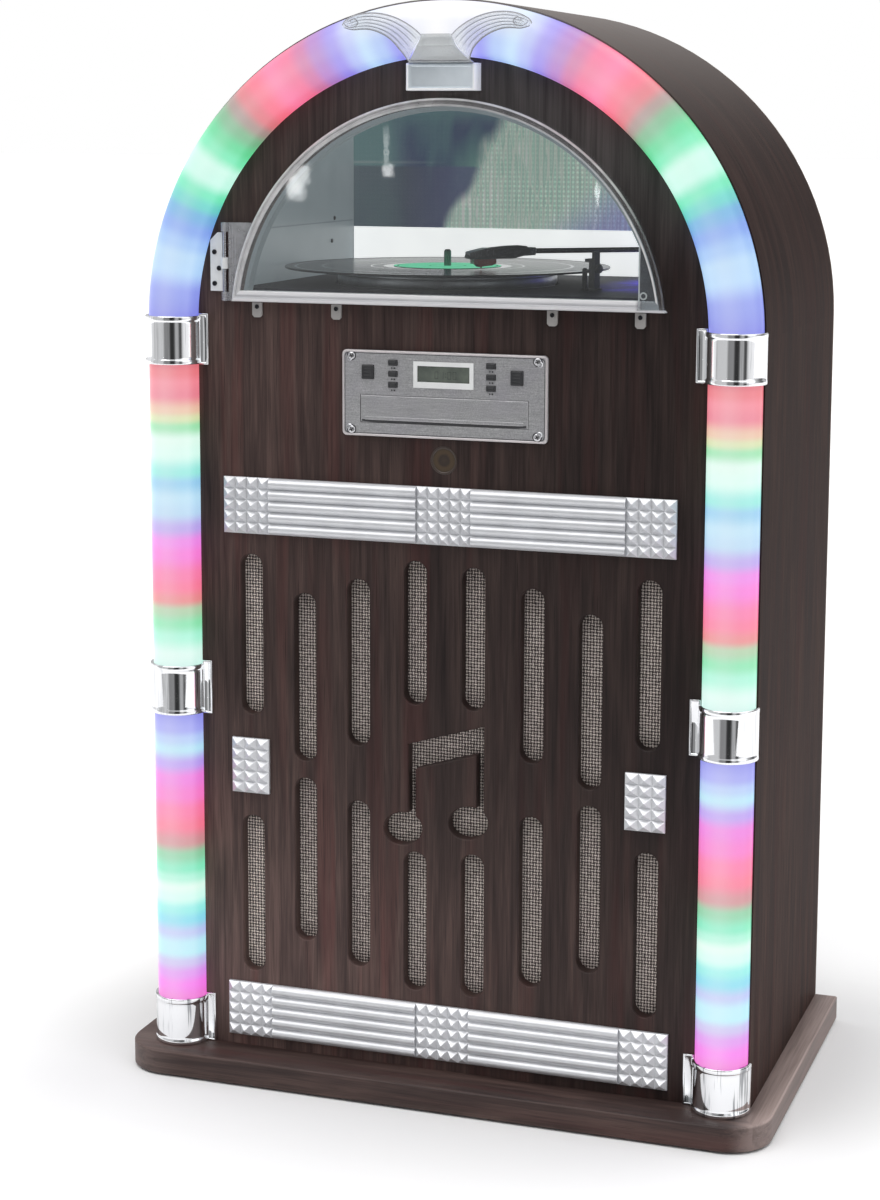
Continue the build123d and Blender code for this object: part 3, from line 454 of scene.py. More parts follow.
def m_satin():
    """Satin faceplate with a fine horizontal brush and pale speckle."""
    m = Mat("satin_silver")
    x, y, z = m.xyz()
    brush = m.noise(m.vec(m.math("MULTIPLY", x, 0.03), y, z), 2600.0, 2.0, 0.7)
    speck = m.noise(m.obj, 1100.0, 2.0, 0.7)
    cloud = m.noise(m.obj, 30.0, 3.0, 0.6)
    f = m.math("MULTIPLY_ADD", brush, 0.45, m.math("MULTIPLY", speck, 0.55))
    col = m.ramp(f, [(0.30, (0.25, 0.252, 0.258, 1)), (0.50, (0.41, 0.412, 0.42, 1)), (0.70, (0.64, 0.64, 0.645, 1))])
    col = m.mix(m.span(cloud, 0.42, 0.72, 0.0, 0.30), col, (0.40, 0.375, 0.44, 1))
    r = m.span(brush, 0.3, 0.7, 0.28, 0.42)
    return m.done(m.shader(base=col, metal=0.55, rough=r, normal=m.bump(brush, 0.10, 0.00012)))


def m_plastic(name, base, rough=0.4, grainy=0.25, scale=1400.0, vary=0.12, coat=0.0):
    """Moulded plastic with a fine spark-eroded texture."""
    m = Mat(name)
    n = m.noise(m.obj, scale, 3.0, 0.6)
    w = m.noise(m.obj, 45.0, 2.0, 0.5)
    dark = tuple(c * (1 - vary) for c in base[:3]) + (1,)
    col = m.mix(m.span(w, 0.3, 0.7), dark, base)
    r = m.span(n, 0.3, 0.7, rough - 0.05, rough + 0.08)
    return m.done(m.shader(base=col, rough=r, normal=m.bump(n, grainy, 0.00015), coat=coat, coat_rough=0.15))


def m_metal(name, base, rough=0.3, stretch=(1, 1, 1), scale=900.0, metal=1.0):
    m = Mat(name)
    n = m.noise(m.scaled(m.obj, stretch), scale, 3.0, 0.6)
    w = m.noise(m.obj, 70.0, 2.0)
    col = m.mix(m.span(w, 0.3, 0.7, 0.0, 1.0), tuple(c * 0.82 for c in base[:3]) + (1,), base)
    r = m.span(n, 0.3, 0.7, rough - 0.07, rough + 0.1)
    return m.done(m.shader(base=col, metal=metal, rough=r, normal=m.bump(n, 0.12, 0.00015)))


def m_rubber(name, base, ribs=0.0):
    m = Mat(name)
    n = m.noise(m.obj, 1600.0, 3.0, 0.7)
    h = n
    if ribs:
        x, y, z = m.xyz()
        rad = m.length(m.vec(m.math("SUBTRACT", x, -0.05), m.math("SUBTRACT", y, 0.0164), 0.0))
        h = m.math("MULTIPLY_ADD", m.math("SINE", m.math("MULTIPLY", rad, ribs)), 0.5, m.math("MULTIPLY", n, 0.3))
    col = m.mix(m.span(n, 0.3, 0.7), base, tuple(c * 1.9 for c in base[:3]) + (1,))
    return m.done(m.shader(base=col, rough=0.78, normal=m.bump(h, 0.4, 0.0003)))


# colours of the lit tubes, from the foot of each run to its top
PINK, SALMON, MINT, WHITE = (255, 138, 205), (243, 128, 142), (196, 255, 232), (246, 255, 253)
UPPER = [(0.00, (206, 248, 236)), (0.035, (216, 252, 240)), (0.097, (154, 244, 210)), (0.14, (114, 226, 162)),
         (0.186, (164, 200, 152)), (0.22, (236, 140, 142)), (0.265, (250, 122, 160)), (0.30, (252, 124, 176)),
         (0.372, (249, 126, 220)), (0.416, (241, 138, 234)), (0.46, (194, 172, 240)), (0.515, (172, 212, 243)),
         (0.56, (178, 222, 246)), (0.61, (134, 202, 240)), (0.646, (134, 234, 222)), (0.71, (214, 254, 240)),
         (0.752, (222, 255, 240)), (0.796, (140, 226, 164)), (0.823, (212, 222, 162)), (0.85, (234, 186, 152)),
         (0.90, (240, 134, 152)), (0.94, (246, 140, 156)), (0.973, (238, 122, 132)), (1.00, (226, 112, 124))]
LOWER = [(0.00, (242, 118, 216)), (0.05, (246, 120, 236)), (0.09, (226, 148, 240)), (0.13, (198, 188, 240)),
         (0.165, (180, 236, 249)), (0.195, (180, 234, 248)), (0.235, (182, 196, 243)), (0.28, (120, 220, 240)), (0.318, (134, 238, 230)),
         (0.36, (206, 254, 240)), (0.395, (222, 255, 240)), (0.43, (166, 246, 216)), (0.46, (112, 234, 188)),
         (0.51, (122, 202, 152)), (0.555, (212, 144, 148)), (0.61, (248, 118, 150)), (0.665, (250, 116, 168)),
         (0.72, (250, 120, 208)), (0.78, (240, 124, 224)), (0.83, (190, 160, 240)), (0.88, (178, 228, 249)),
         (0.915, (172, 200, 248)), (0.95, (164, 168, 242)), (1.00, (148, 150, 236))]


def paler(run, share):
    """The same run with its green, cyan and white stretches nearer to white."""
    return [(p, tuple(round(v + (255 - v) * share) for v in c) if c[1] > 185 else c) for p, c in run]


UPPER, LOWER = paler(UPPER, 0.20), paler(LOWER, 0.14)
# along the arch, 0 at the spring line and 1 at the top
ARC = [(0.00, (132, 136, 232)), (0.07, (148, 162, 241)), (0.125, (186, 220, 252)), (0.155, (188, 222, 252)),
       (0.185, (162, 200, 248)), (0.22, (132, 170, 240)), (0.255, (112, 182, 228)), (0.28, (100, 214, 206)),
       (0.31, (112, 236, 192)), (0.345, (206, 255, 238)), (0.375, (210, 255, 238)), (0.41, (120, 238, 186)),
       (0.44, (94, 222, 156)), (0.475, (124, 188, 142)), (0.505, (172, 148, 140)), (0.535, (230, 120, 130)),
       (0.57, (254, 112, 140)), (0.615, (255, 126, 170)), (0.655, (250, 118, 160)), (0.69, (216, 120, 172)),
       (0.72, (186, 130, 206)), (0.765, (162, 148, 242)), (0.80, (182, 196, 250)), (0.83, (196, 226, 255)),
       (0.865, (178, 204, 252)), (0.905, (152, 154, 244)), (0.925, (182, 184, 250)), (0.95, (240, 243, 255)),
       (1.00, (255, 255, 255))]


def m_lit(name, arch):
    m = Mat(name)
    x, y, z = m.xyz()
    if arch:
        dz = m.math("SUBTRACT", z, ZC)
        ax = m.math("ABSOLUTE", x)
        ang = m.math("ARCTAN2", dz, ax)
        t = m.math("DIVIDE", ang, math.pi / 2)
        col = m.ramp(t, [(p, lin(*c)) for p, c in ARC], "EASE")
        rad = m.length(m.vec(x, dz, 0.0))
        off = m.math("SUBTRACT", rad, TUBE_PITCH / 1000.0)
        along = m.math("MULTIPLY", ang, TUBE_PITCH / 1000.0)
    else:
        zu = m.span(z, (361 + 24.5) / 1000, (636 + 24.5) / 1000)
        zl = m.span(z, (44.5 + 24.5) / 1000, (315 + 24.5) / 1000)
        cu = m.ramp(zu, [(p, lin(*c)) for p, c in UPPER], "EASE")
        cl = m.ramp(zl, [(p, lin(*c)) for p, c in LOWER], "EASE")
        col = m.mix(m.math("GREATER_THAN", z, (338 + 24.5) / 1000), cl, cu)
        off = m.math("SUBTRACT", m.math("ABSOLUTE", x), TUBE_PITCH / 1000.0)
        along = z
    a = m.math("ABSOLUTE", off)
    # paler down the middle of the tube, richer towards its two edges
    if arch:
        # the lamps meet at the crown and wash out the outer half of the tube there
        wash = m.math("MULTIPLY", m.span(t, 0.74, 0.90, 0.0, 0.9, smooth=True), m.span(off, -0.006, 0.014, 0.0, 1.0, smooth=True))
        col = m.mix(wash, col, (0.95, 0.96, 1.0, 1))
    core = m.span(a, 0.0, 0.017, 0.12, 0.0, smooth=True)
    rim = m.span(a, 0.0175, 0.0232, 0.0, 0.55, smooth=True)
    haze = m.noise(m.obj, 30.0, 3.0, 0.6)
    col2 = m.mix(core, col, (1, 1, 1, 1))
    deep = m.mix(0.62, col, m.mix(1.0, col, col, "MULTIPLY"))
    col3 = m.mix(rim, col2, deep)
    # each lamp behind the tube shows as a soft brighter patch
    lamp = m.math("COSINE", m.math("MULTIPLY", along, 2 * math.pi / 0.041))
    power = m.math("ADD", m.math("MULTIPLY_ADD", lamp, 0.012, 0.86), m.math("MULTIPLY", haze, 0.07))
    fine = m.noise(m.obj, 1300.0, 2.0)
    return m.done(m.shader(base=(0.12, 0.12, 0.125, 1), rough=0.30, emit=col3, power=power,
                           normal=m.bump(fine, 0.06, 0.0001), spec=0.35))


M_LIT = m_lit("lit_tube", False)
M_LITARC = m_lit("lit_arch", True)


def m_cloth():
    """Open plain weave, 2.8 mm pitch, beige slubbed yarn over a dark ground."""
    m = Mat("speaker_cloth")
    x, y, z = m.xyz()
    wob = m.noise(m.obj, 190.0, 2.0, 0.5)
    p = math.pi / 0.0028
    u = m.math("MULTIPLY", m.math("MULTIPLY_ADD", wob, 0.0011, x), p)
    w = m.math("MULTIPLY", m.math("MULTIPLY_ADD", wob, -0.0011, z), p)
    su, sw = m.math("SINE", u), m.math("SINE", w)
    a, b = m.math("ABSOLUTE", su), m.math("ABSOLUTE", sw)
    over = m.math("MULTIPLY", su, sw)
    hw = m.math("MULTIPLY", a, m.math("MULTIPLY_ADD", over, 0.30, 0.70))
    hf = m.math("MULTIPLY", b, m.math("MULTIPLY_ADD", over, -0.30, 0.70))
    h = m.math("MAXIMUM", hw, hf)
    fuzz = m.noise(m.obj, 2600.0, 2.0, 0.7)
    tone = m.noise(m.obj, 14.0, 2.0, 0.5)
    slub = m.noise(m.scaled(m.obj, (1.0, 1.0, 1.0)), 260.0, 2.0, 0.6)
    lift = m.math("MULTIPLY_ADD", fuzz, 0.22, m.math("MULTIPLY_ADD", slub, 0.5, -0.36))
    col = m.ramp(m.math("ADD", h, lift),
                 [(0.34, (0.020, 0.015, 0.014, 1)), (0.52, (0.105, 0.083, 0.076, 1)), (0.72, (0.40, 0.34, 0.31, 1)),
                  (0.98, (0.86, 0.79, 0.72, 1))])
    col = m.mix(m.span(tone, 0.35, 0.7, 0.0, 0.35), col, m.mix(1.0, col, (0.78, 0.72, 0.76, 1), "MULTIPLY"))
    lit = m.span(x, -0.215, -0.135, 1.42, 1.0, smooth=True)
    col = m.mix(1.0, col, m.vec(lit, lit, lit), "MULTIPLY")
    return m.done(m.shader(base=col, rough=0.88, normal=m.bump(h, 0.9, 0.0008), sheen=0.2, sheen_rough=0.5))


def m_clear(name="clear_sheet", haze=0.014, rough=0.006, tint=(0.972, 0.985, 0.985, 1)):
    """Thin clear plastic: what is behind shows straight through, plus gloss and a trace of haze."""
    m = Mat(name)
    lw = m.node("ShaderNodeLayerWeight")
    lw.inputs["Blend"].default_value = 0.5
    gloss = m.math("MULTIPLY_ADD", m.math("POWER", lw.outputs["Facing"], 5.0), 0.85, 0.042)
    tr = m.node("ShaderNodeBsdfTransparent")
    tr.inputs[0].default_value = tint
    gl = m.node("ShaderNodeBsdfGlossy")
    gl.inputs["Color"].default_value = (1, 1, 1, 1)
    gl.inputs["Roughness"].default_value = rough
    df = m.node("ShaderNodeBsdfDiffuse")
    df.inputs["Color"].default_value = (0.80, 0.84, 0.86, 1)
    n = m.noise(m.obj, 16.0, 4.0, 0.6)
    m.put(m.bump(n, 0.05, 0.0004), gl.inputs["Normal"])
    s1 = m.node("ShaderNodeMixShader")
    m.put(m.span(n, 0.3, 0.75, haze * 0.4, haze * 1.5), s1.inputs[0])
    m.put(tr.outputs[0], s1.inputs[1])
    m.put(df.outputs[0], s1.inputs[2])
    s2 = m.node("ShaderNodeMixShader")
    m.put(gloss, s2.inputs[0])
    m.put(s1.outputs[0], s2.inputs[1])
    m.put(gl.outputs[0], s2.inputs[2])
    return m.done(s2)


def see_through(m, solid, fac, tint=(0.95, 0.97, 0.98, 1)):
    """Mix of a solid shader and plain transparency; fac 1 is all clear."""
    tr = m.node("ShaderNodeBsdfTransparent")
    tr.inputs[0].default_value = tint
    s = m.node("ShaderNodeMixShader")
    m.put(fac, s.inputs[0])
    m.put(solid.outputs[0], s.inputs[1])
    m.put(tr.outputs[0], s.inputs[2])
    return s


def m_rim(name="polished_rim", base=(0.70, 0.72, 0.74, 1), see=0.22, rough=0.14):
    """Moulded clear plastic with an uneven milky look."""
    m = Mat(name)
    n = m.noise(m.obj, 60.0, 4.0, 0.6)
    f = m.noise(m.obj, 700.0, 2.0, 0.6)
    col = m.mix(m.span(n, 0.3, 0.7), tuple(c * 0.80 for c in base[:3]) + (1,), base)
    p = m.shader(base=col, rough=m.span(f, 0.3, 0.7, rough - 0.05, rough + 0.06), normal=m.bump(n, 0.12, 0.0008),
                 coat=0.6, coat_rough=0.05)
    return m.done(see_through(m, p, m.span(n, 0.25, 0.8, see * 0.6, see * 1.5)))


def m_door_edge():
    """Clear edge of the door: two bright lines with a clear gap, milkier towards the hinge side."""
    m = Mat("door_edge")
    x, y, z = m.xyz()
    rad = m.length(m.vec(x, 0.0, m.math("SUBTRACT", z, ZC)))
    d = m.math("MULTIPLY_ADD", rad, -1000.0, 199.0)
    n = m.noise(m.obj, 55.0, 4.0, 0.6)
    outer = m.math("MULTIPLY", m.span(d, 0.0, 0.5, 0.35, 1.0), m.span(d, 1.7, 2.5, 1.0, 0.0, smooth=True))
    inner = m.math("MULTIPLY", m.span(d, 5.0, 5.8, 0.0, 1.0, smooth=True), m.span(d, 7.0, 7.6, 1.0, 0.55))
    left = m.span(x, -0.120, 0.060, 1.0, 0.0, smooth=True)
    right = m.math("MULTIPLY", m.span(x, 0.120, 0.168, 0.0, 1.0, smooth=True), m.span(z, 0.83, 0.78, 0.0, 1.0, smooth=True))
    o = m.math("MULTIPLY", outer, m.math("MULTIPLY_ADD", right, -0.58, m.math("MULTIPLY_ADD", left, 0.15, 0.74)))
    i = m.math("MULTIPLY", inner, m.math("MULTIPLY_ADD", right, 0.30, m.math("MULTIPLY_ADD", left, 0.34, 0.52)))
    gap = m.math("MULTIPLY_ADD", left, 0.62, m.math("MULTIPLY_ADD", right, -0.08, 0.12))
    body = m.math("MAXIMUM", m.math("MAXIMUM", o, i), gap)
    body = m.math("MULTIPLY", body, m.span(n, 0.2, 0.8, 0.80, 1.12), clamp=True)
    # painted highlight: only the two beads on the face are drawn pale and milky, as where they catch the light; the
    # walls behind them stay clear
    face = m.span(y, (-8.9 - 135.6) / 1000, (-8.0 - 135.6) / 1000, 1.0, 0.07)
    body = m.math("MULTIPLY", body, face)
    col = m.mix(m.span(n, 0.3, 0.7), (0.66, 0.66, 0.67, 1), (0.82, 0.81, 0.82, 1))
    p = m.shader(base=col, rough=0.16, normal=m.bump(n, 0.10, 0.0008), coat=0.6, coat_rough=0.05)
    return m.done(see_through(m, p, m.math("SUBTRACT", 1.0, body), (0.97, 0.98, 0.985, 1)))


def m_door_bar():
    """Foot of the door: pale and milky as far as the dark plate, clear beyond it."""
    m = Mat("door_foot")
    x, y, z = m.xyz()
    n = m.noise(m.scaled(m.obj, (0.15, 1, 1)), 120.0, 3.0, 0.6)
    h = m.math("MULTIPLY_ADD", z, 1000.0, -(DOOR_FOOT + 24.5))
    low = m.math("MULTIPLY", m.span(h, 0.0, 0.4, 0.5, 1.0), m.span(h, 1.6, 2.2, 1.0, 0.0, smooth=True))
    plain = m.span(x, 0.1715, 0.1765, 1.0, 0.0, smooth=True)
    body = m.math("MAXIMUM", m.math("MULTIPLY", low, 0.85), m.math("MULTIPLY_ADD", plain, 0.84, 0.10))
    stripe = m.math("MULTIPLY", m.span(h, 2.6, 3.6, 0.0, 1.0, smooth=True), m.span(h, 6.0, 7.2, 1.0, 0.0, smooth=True))
    col = m.mix(m.math("MULTIPLY", stripe, 0.8), (0.80, 0.79, 0.81, 1), (0.50, 0.50, 0.53, 1))
    col = m.mix(m.span(n, 0.35, 0.7, 0.0, 0.25), col, (0.92, 0.92, 0.93, 1))
    p = m.shader(base=col, rough=0.20, normal=m.bump(n, 0.10, 0.0005), coat=0.5, coat_rough=0.06)
    return m.done(see_through(m, p, m.math("SUBTRACT", 1.0, body), (0.97, 0.98, 0.985, 1)))


def m_glass(name="clear_moulding", tint=(0.96, 0.97, 0.98, 1)):
    m = Mat(name)
    n = m.noise(m.obj, 220.0, 3.0, 0.6)
    return m.done(m.shader(base=tint, rough=m.span(n, 0.3, 0.8, 0.03, 0.12), glass=1.0, ior=1.46,
                           normal=m.bump(n, 0.10, 0.0005)))


def m_crest():
    """Clear moulding with a milky body, so that the lit tube shows through it only faintly."""
    m = Mat("crest_moulding")
    n = m.noise(m.obj, 90.0, 3.0, 0.6)
    col = m.mix(m.span(n, 0.3, 0.7), (0.74, 0.75, 0.78, 1), (0.88, 0.885, 0.90, 1))
    # painted light: the moulding glows faintly of itself
    p = m.shader(base=col, rough=0.22, normal=m.bump(n, 0.10, 0.0005), emit=(0.86, 0.87, 0.92, 1), power=0.16, coat=0.4,
                 coat_rough=0.08)
    return m.done(see_through(m, p, m.span(n, 0.25, 0.8, 0.50, 0.70)))


def m_foil():
    """Iridescent foil: a dot lattice over green, teal and violet bands, dark at the left and pale at the right as a
    painted reflection, and glowing with painted light.
    """
    m = Mat("iridescent_foil")
    x, y, z = m.xyz()
    wob = m.noise(m.obj, 9.0, 3.0, 0.55)
    # painted reflection: edge and side split the foil into the dark left part and the pale right part
    edge = m.math("ADD", m.math("MULTIPLY_ADD", z, -0.62, x), m.math("MULTIPLY", wob, 0.09))
    side = m.span(edge, -0.558, -0.538, 0.0, 1.0, smooth=True)
    hue = m.noise(m.vec(x, 0.0, m.math("MULTIPLY", z, 0.35)), 22.0, 3.0, 0.6, 1.5)
    # pale part: beige green, turning violet and blue low down on the right
    low = m.span(m.math("MULTIPLY_ADD", x, 0.75, m.math("MULTIPLY", z, -1.0)), -0.790, -0.722, 0.0, 1.0, smooth=True)
    bands = m.math("SINE", m.math("MULTIPLY_ADD", x, 2 * math.pi / 0.0072, m.math("MULTIPLY", hue, 4.0)))
    shift = m.math("MULTIPLY_ADD", bands, 0.10, hue)
    pale = m.ramp(shift, [(0.25, lin(152, 170, 160)), (0.38, lin(132, 156, 146)), (0.48, lin(166, 172, 164)),
                          (0.58, lin(136, 164, 152)), (0.70, lin(176, 178, 174))])
    viol = m.ramp(shift, [(0.25, lin(96, 104, 158)), (0.42, lin(128, 132, 176)), (0.56, lin(112, 104, 158)),
                          (0.70, lin(146, 150, 186))])
    pale = m.mix(m.math("MULTIPLY", low, 0.85), pale, viol)
    deep = m.noise(m.vec(x, 0.0, m.math("MULTIPLY", z, 0.55)), 15.0, 2.0, 0.5, 0.8)
    dark = m.ramp(deep, [(0.30, lin(84, 118, 112)), (0.43, lin(62, 88, 96)), (0.55, lin(44, 58, 84)),
                         (0.70, lin(56, 66, 88))])
    # a darker olive strip along the foot of the dark part, under a thin light line
    foot = m.span(m.math("MULTIPLY_ADD", wob, 0.006, z), 0.8335, 0.8365, 1.0, 0.0, smooth=True)
    line = m.span(m.math("ABSOLUTE", m.math("SUBTRACT", z, 0.8365)), 0.0, 0.0022, 1.0, 0.0, smooth=True)
    teal = m.math("MAXIMUM", m.span(x, -0.172, -0.140, 1.0, 0.0, smooth=True),
                  m.math("MULTIPLY", m.span(z, 0.868, 0.896, 0.0, 1.0, smooth=True), m.span(deep, 0.38, 0.60, 0.35, 1.0)))
    dark = m.mix(m.math("MULTIPLY", teal, 0.62), dark, lin(88, 122, 116))
    dark = m.mix(m.math("MULTIPLY", foot, 0.78), dark, m.mix(m.span(x, -0.150, -0.090), lin(54, 60, 72), lin(66, 68, 100)))
    dark = m.mix(m.math("MULTIPLY", line, m.span(x, -0.20, -0.10, 0.55, 0.0)), dark, lin(120, 128, 128))
    col = m.mix(side, dark, pale)
    # dot lattice, turned 45 degrees, the same on the dark and the pale part
    q = math.pi / 0.0046
    d1 = m.math("SINE", m.math("MULTIPLY", m.math("ADD", x, z), q))
    d2 = m.math("SINE", m.math("MULTIPLY", m.math("SUBTRACT", x, z), q))
    dots = m.math("MULTIPLY", d1, d2)
    patch = m.noise(m.obj, 26.0, 2.0, 0.5)
    # painted highlight: the dots are drawn brighter, most on the pale part
    gain = m.math("MULTIPLY_ADD", side, 0.55, 0.22)
    dot_highlight = m.math("MULTIPLY", m.span(dots, 0.10, 0.75, 0.0, 1.0), m.math("MULTIPLY", gain, m.span(patch, 0.40, 0.62, 0.25, 1.0)))
    col = m.mix(dot_highlight, col, m.mix(1.0, col, (1.38, 1.55, 1.45, 1), "MULTIPLY"))
    # painted light: the foil glows with its own colour
    return m.done(m.shader(base=m.mix(1.0, col, (0.55, 0.55, 0.55, 1), "MULTIPLY"), metal=0.25, rough=0.32,
                           normal=m.bump(dots, 0.10, 0.0003), emit=col, power=0.80))


def m_liner():
    """Grey gloss side walls, drawn paler towards the top as painted light; the strip along the rear is white; walls and
    strip glow with painted light.
    """
    m = Mat("bay_lining")
    x, y, z = m.xyz()
    n = m.noise(m.obj, 18.0, 3.0, 0.6)
    # painted light: the walls are drawn paler towards the top
    up = m.span(z, 0.72, 0.90)
    grey = m.ramp(m.math("MULTIPLY_ADD", up, 0.5, m.math("MULTIPLY", n, 0.5)),
                  [(0.20, lin(112, 122, 127)), (0.5, lin(128, 137, 141)), (0.8, lin(148, 157, 160))])
    # a joint line two thirds of the way up
    seam = m.span(m.math("ABSOLUTE", m.math("SUBTRACT", z, 0.7790)), 0.0, 0.0011, 1.0, 0.0, smooth=True)
    grey = m.mix(m.math("MULTIPLY", seam, 0.55), grey, lin(62, 68, 74))
    white = m.mix(m.span(n, 0.3, 0.7), (0.88, 0.88, 0.87, 1), (0.80, 0.80, 0.80, 1))
    isband = m.math("GREATER_THAN", y, (REAR - 2.9 - 135.6) / 1000)
    inside = m.math("LESS_THAN", m.math("ABSOLUTE", x), 0.2030)
    sel = m.math("MULTIPLY", isband, inside)
    col = m.mix(sel, grey, white)
    f = m.noise(m.obj, 900.0, 2.0)
    # painted light: walls and rear strip glow, the strip the more
    return m.done(m.shader(base=col, rough=0.30, normal=m.bump(f, 0.05, 0.0002), emit=col,
                           power=m.math("MULTIPLY_ADD", sel, 0.55, 0.50), spec=0.35))


def m_record():
    """Grooved black vinyl, darker run-out bands, and a green paper label."""
    m = Mat("record")
    x, y, z = m.xyz()
    dx, dy = m.math("SUBTRACT", x, -0.050), m.math("SUBTRACT", y, 0.0164)
    r = m.length(m.vec(dx, dy, 0.0))
    ang = m.math("ARCTAN2", dy, dx)
    groove = m.math("SINE", m.math("MULTIPLY", r, 2 * math.pi / 0.0011))
    tracks = m.noise(m.vec(m.math("MULTIPLY", r, 1.0), 0.0, 0.0), 160.0, 2.0, 0.5)
    gaps = m.span(tracks, 0.60, 0.64, 0.0, 1.0)
    body = m.mix(gaps, (0.012, 0.012, 0.013, 1), (0.030, 0.030, 0.032, 1))
    fibre = m.noise(m.vec(dx, dy, 0.0), 700.0, 3.0, 0.6)
    label = m.mix(m.span(fibre, 0.3, 0.7), lin(86, 214, 160), lin(120, 236, 186))
    ring = m.math("LESS_THAN", m.math("ABSOLUTE", m.math("SUBTRACT", r, 0.0462)), 0.0006)
    ring2 = m.math("LESS_THAN", m.math("ABSOLUTE", m.math("SUBTRACT", r, 0.0165)), 0.0005)
    label = m.mix(m.math("MAXIMUM", ring, ring2), label, lin(26, 92, 70))
    inlabel = m.math("LESS_THAN", r, 0.0500)
    col = m.mix(inlabel, body, label)
    flat = m.math("LESS_THAN", r, 0.0600)
    h = m.math("MULTIPLY", groove, m.math("SUBTRACT", 1.0, m.math("MAXIMUM", gaps, flat)))
    runout = m.math("MULTIPLY", m.span(r, 0.0575, 0.0605, 1.0, 0.0), m.math("SUBTRACT", 1.0, inlabel))
    rough = m.math("MULTIPLY_ADD", runout, -0.17, m.math("MULTIPLY_ADD", gaps, -0.12, m.span(inlabel, 0.0, 1.0, 0.22, 0.5)))
    # painted light: the label glows, so it reads brighter
    return m.done(m.shader(base=col, rough=rough, normal=m.bump(h, 0.16, 0.00005), spec=0.24,
                           emit=m.mix(inlabel, (0, 0, 0, 1), label), power=0.62))


def m_deck():
    """Dark gloss deck with a cool reflection of the lamps at the right rear corner."""
    m = Mat("deck_gloss")
    x, y, z = m.xyz()
    n = m.noise(m.obj, 35.0, 3.0, 0.6)
    col = m.mix(m.span(n, 0.3, 0.7), (0.012, 0.013, 0.020, 1), (0.024, 0.024, 0.036, 1))
    d = m.length(m.vec(m.math("SUBTRACT", x, 0.162), m.math("MULTIPLY", m.math("SUBTRACT", y, 0.075), 0.50), 0.0))
    blot = m.noise(m.obj, 28.0, 3.0, 0.6, 0.6)
    glow = m.math("MULTIPLY", m.span(d, 0.006, 0.085, 1.0, 0.0, smooth=True), m.span(blot, 0.38, 0.62, 0.25, 1.0, smooth=True))
    em = m.mix(glow, (0, 0, 0, 1), lin(70, 48, 222))
    f = m.noise(m.obj, 1200.0, 2.0)
    return m.done(m.shader(base=col, rough=0.48, normal=m.bump(f, 0.04, 0.0002), emit=em, power=1.15, spec=0.03))


def m_lcd():
    m = Mat("lcd_pane")
    x, y, z = m.xyz()
    n = m.noise(m.obj, 90.0, 3.0, 0.5)
    col = m.ramp(n, [(0.3, lin(84, 91, 84)), (0.7, lin(104, 112, 102))])
    col = m.mix(m.span(x, -0.024, 0.004, 0.45, 0.0), col, lin(56, 62, 60))
    f = m.math("SINE", m.math("MULTIPLY", x, 2 * math.pi / 0.0011))
    return m.done(m.shader(base=col, rough=0.18, normal=m.bump(f, 0.02, 0.0001), coat=0.5, coat_rough=0.05))


def m_cone(name, base):
    m = Mat(name)
    n = m.noise(m.obj, 420.0, 4.0, 0.65)
    x, y, z = m.xyz()
    ax = m.math("SUBTRACT", m.math("ABSOLUTE", x), 0.112)
    rad = m.length(m.vec(ax, m.math("SUBTRACT", z, 0.1895), 0.0))
    rings = m.math("SINE", m.math("MULTIPLY", rad, 2 * math.pi / 0.004))
    col = m.mix(m.span(n, 0.3, 0.7), base, tuple(c * 1.8 for c in base[:3]) + (1,))
    h = m.math("MULTIPLY_ADD", rings, 0.35, n)
    return m.done(m.shader(base=col, rough=0.7, normal=m.bump(h, 0.4, 0.0005)))


def m_pcb():
    """Green board; parts on it are told from it by how far they stand off."""
    m = Mat("circuit_board")
    x, y, z = m.xyz()
    edge = (REAR - 27.6 - 135.6) / 1000
    off = m.math("LESS_THAN", y, edge - 0.0002)
    n = m.noise(m.obj, 260.0, 2.0, 0.5)
    tr = m.math("GREATER_THAN", m.math("SINE", m.math("MULTIPLY", m.math("MULTIPLY_ADD", n, 0.004, x), 1700.0)), 0.72)
    board_c = m.mix(tr, (0.012, 0.10, 0.035, 1), (0.030, 0.19, 0.075, 1))
    part_c = m.mix(m.span(n, 0.35, 0.65), (0.02, 0.02, 0.024, 1), (0.10, 0.10, 0.11, 1))
    return m.done(m.shader(base=m.mix(off, board_c, part_c), rough=0.4, normal=m.bump(n, 0.15, 0.0003)))


def m_transformer():
    m = Mat("laminations")
    x, y, z = m.xyz()
    lam = m.math("SINE", m.math("MULTIPLY", z, 2 * math.pi / 0.0016))
    n = m.noise(m.obj, 300.0, 3.0)
    col = m.mix(m.span(lam, -0.2, 0.6), (0.04, 0.035, 0.03, 1), (0.17, 0.15, 0.13, 1))
    return m.done(m.shader(base=col, metal=0.5, rough=0.45, normal=m.bump(m.math("MULTIPLY_ADD", lam, 0.5, n), 0.3, 0.0003)))


def m_ledstrip():
    m = Mat("led_strip")
    x, y, z = m.xyz()
    chip = m.math("LESS_THAN", y, (-1.8 - 135.6) / 1000)
    n = m.noise(m.obj, 500.0, 2.0)
    col = m.mix(chip, (0.75, 0.75, 0.74, 1), (0.95, 0.90, 0.70, 1))
    return m.done(m.shader(base=col, rough=0.4, normal=m.bump(n, 0.1, 0.0002), emit=(1, 0.95, 1, 1),
                           power=m.math("MULTIPLY", chip, 2.0)))


M_CHROME = m_chrome()
M_SILVER = m_silver()
M_TRIM = m_silver("trim_silver", (0.72, 0.73, 0.755, 1), 0.38, 0.34)
M_BRIGHT = m_silver("bright_edge", (0.66, 0.62, 0.625, 1), 0.30, 0.34)


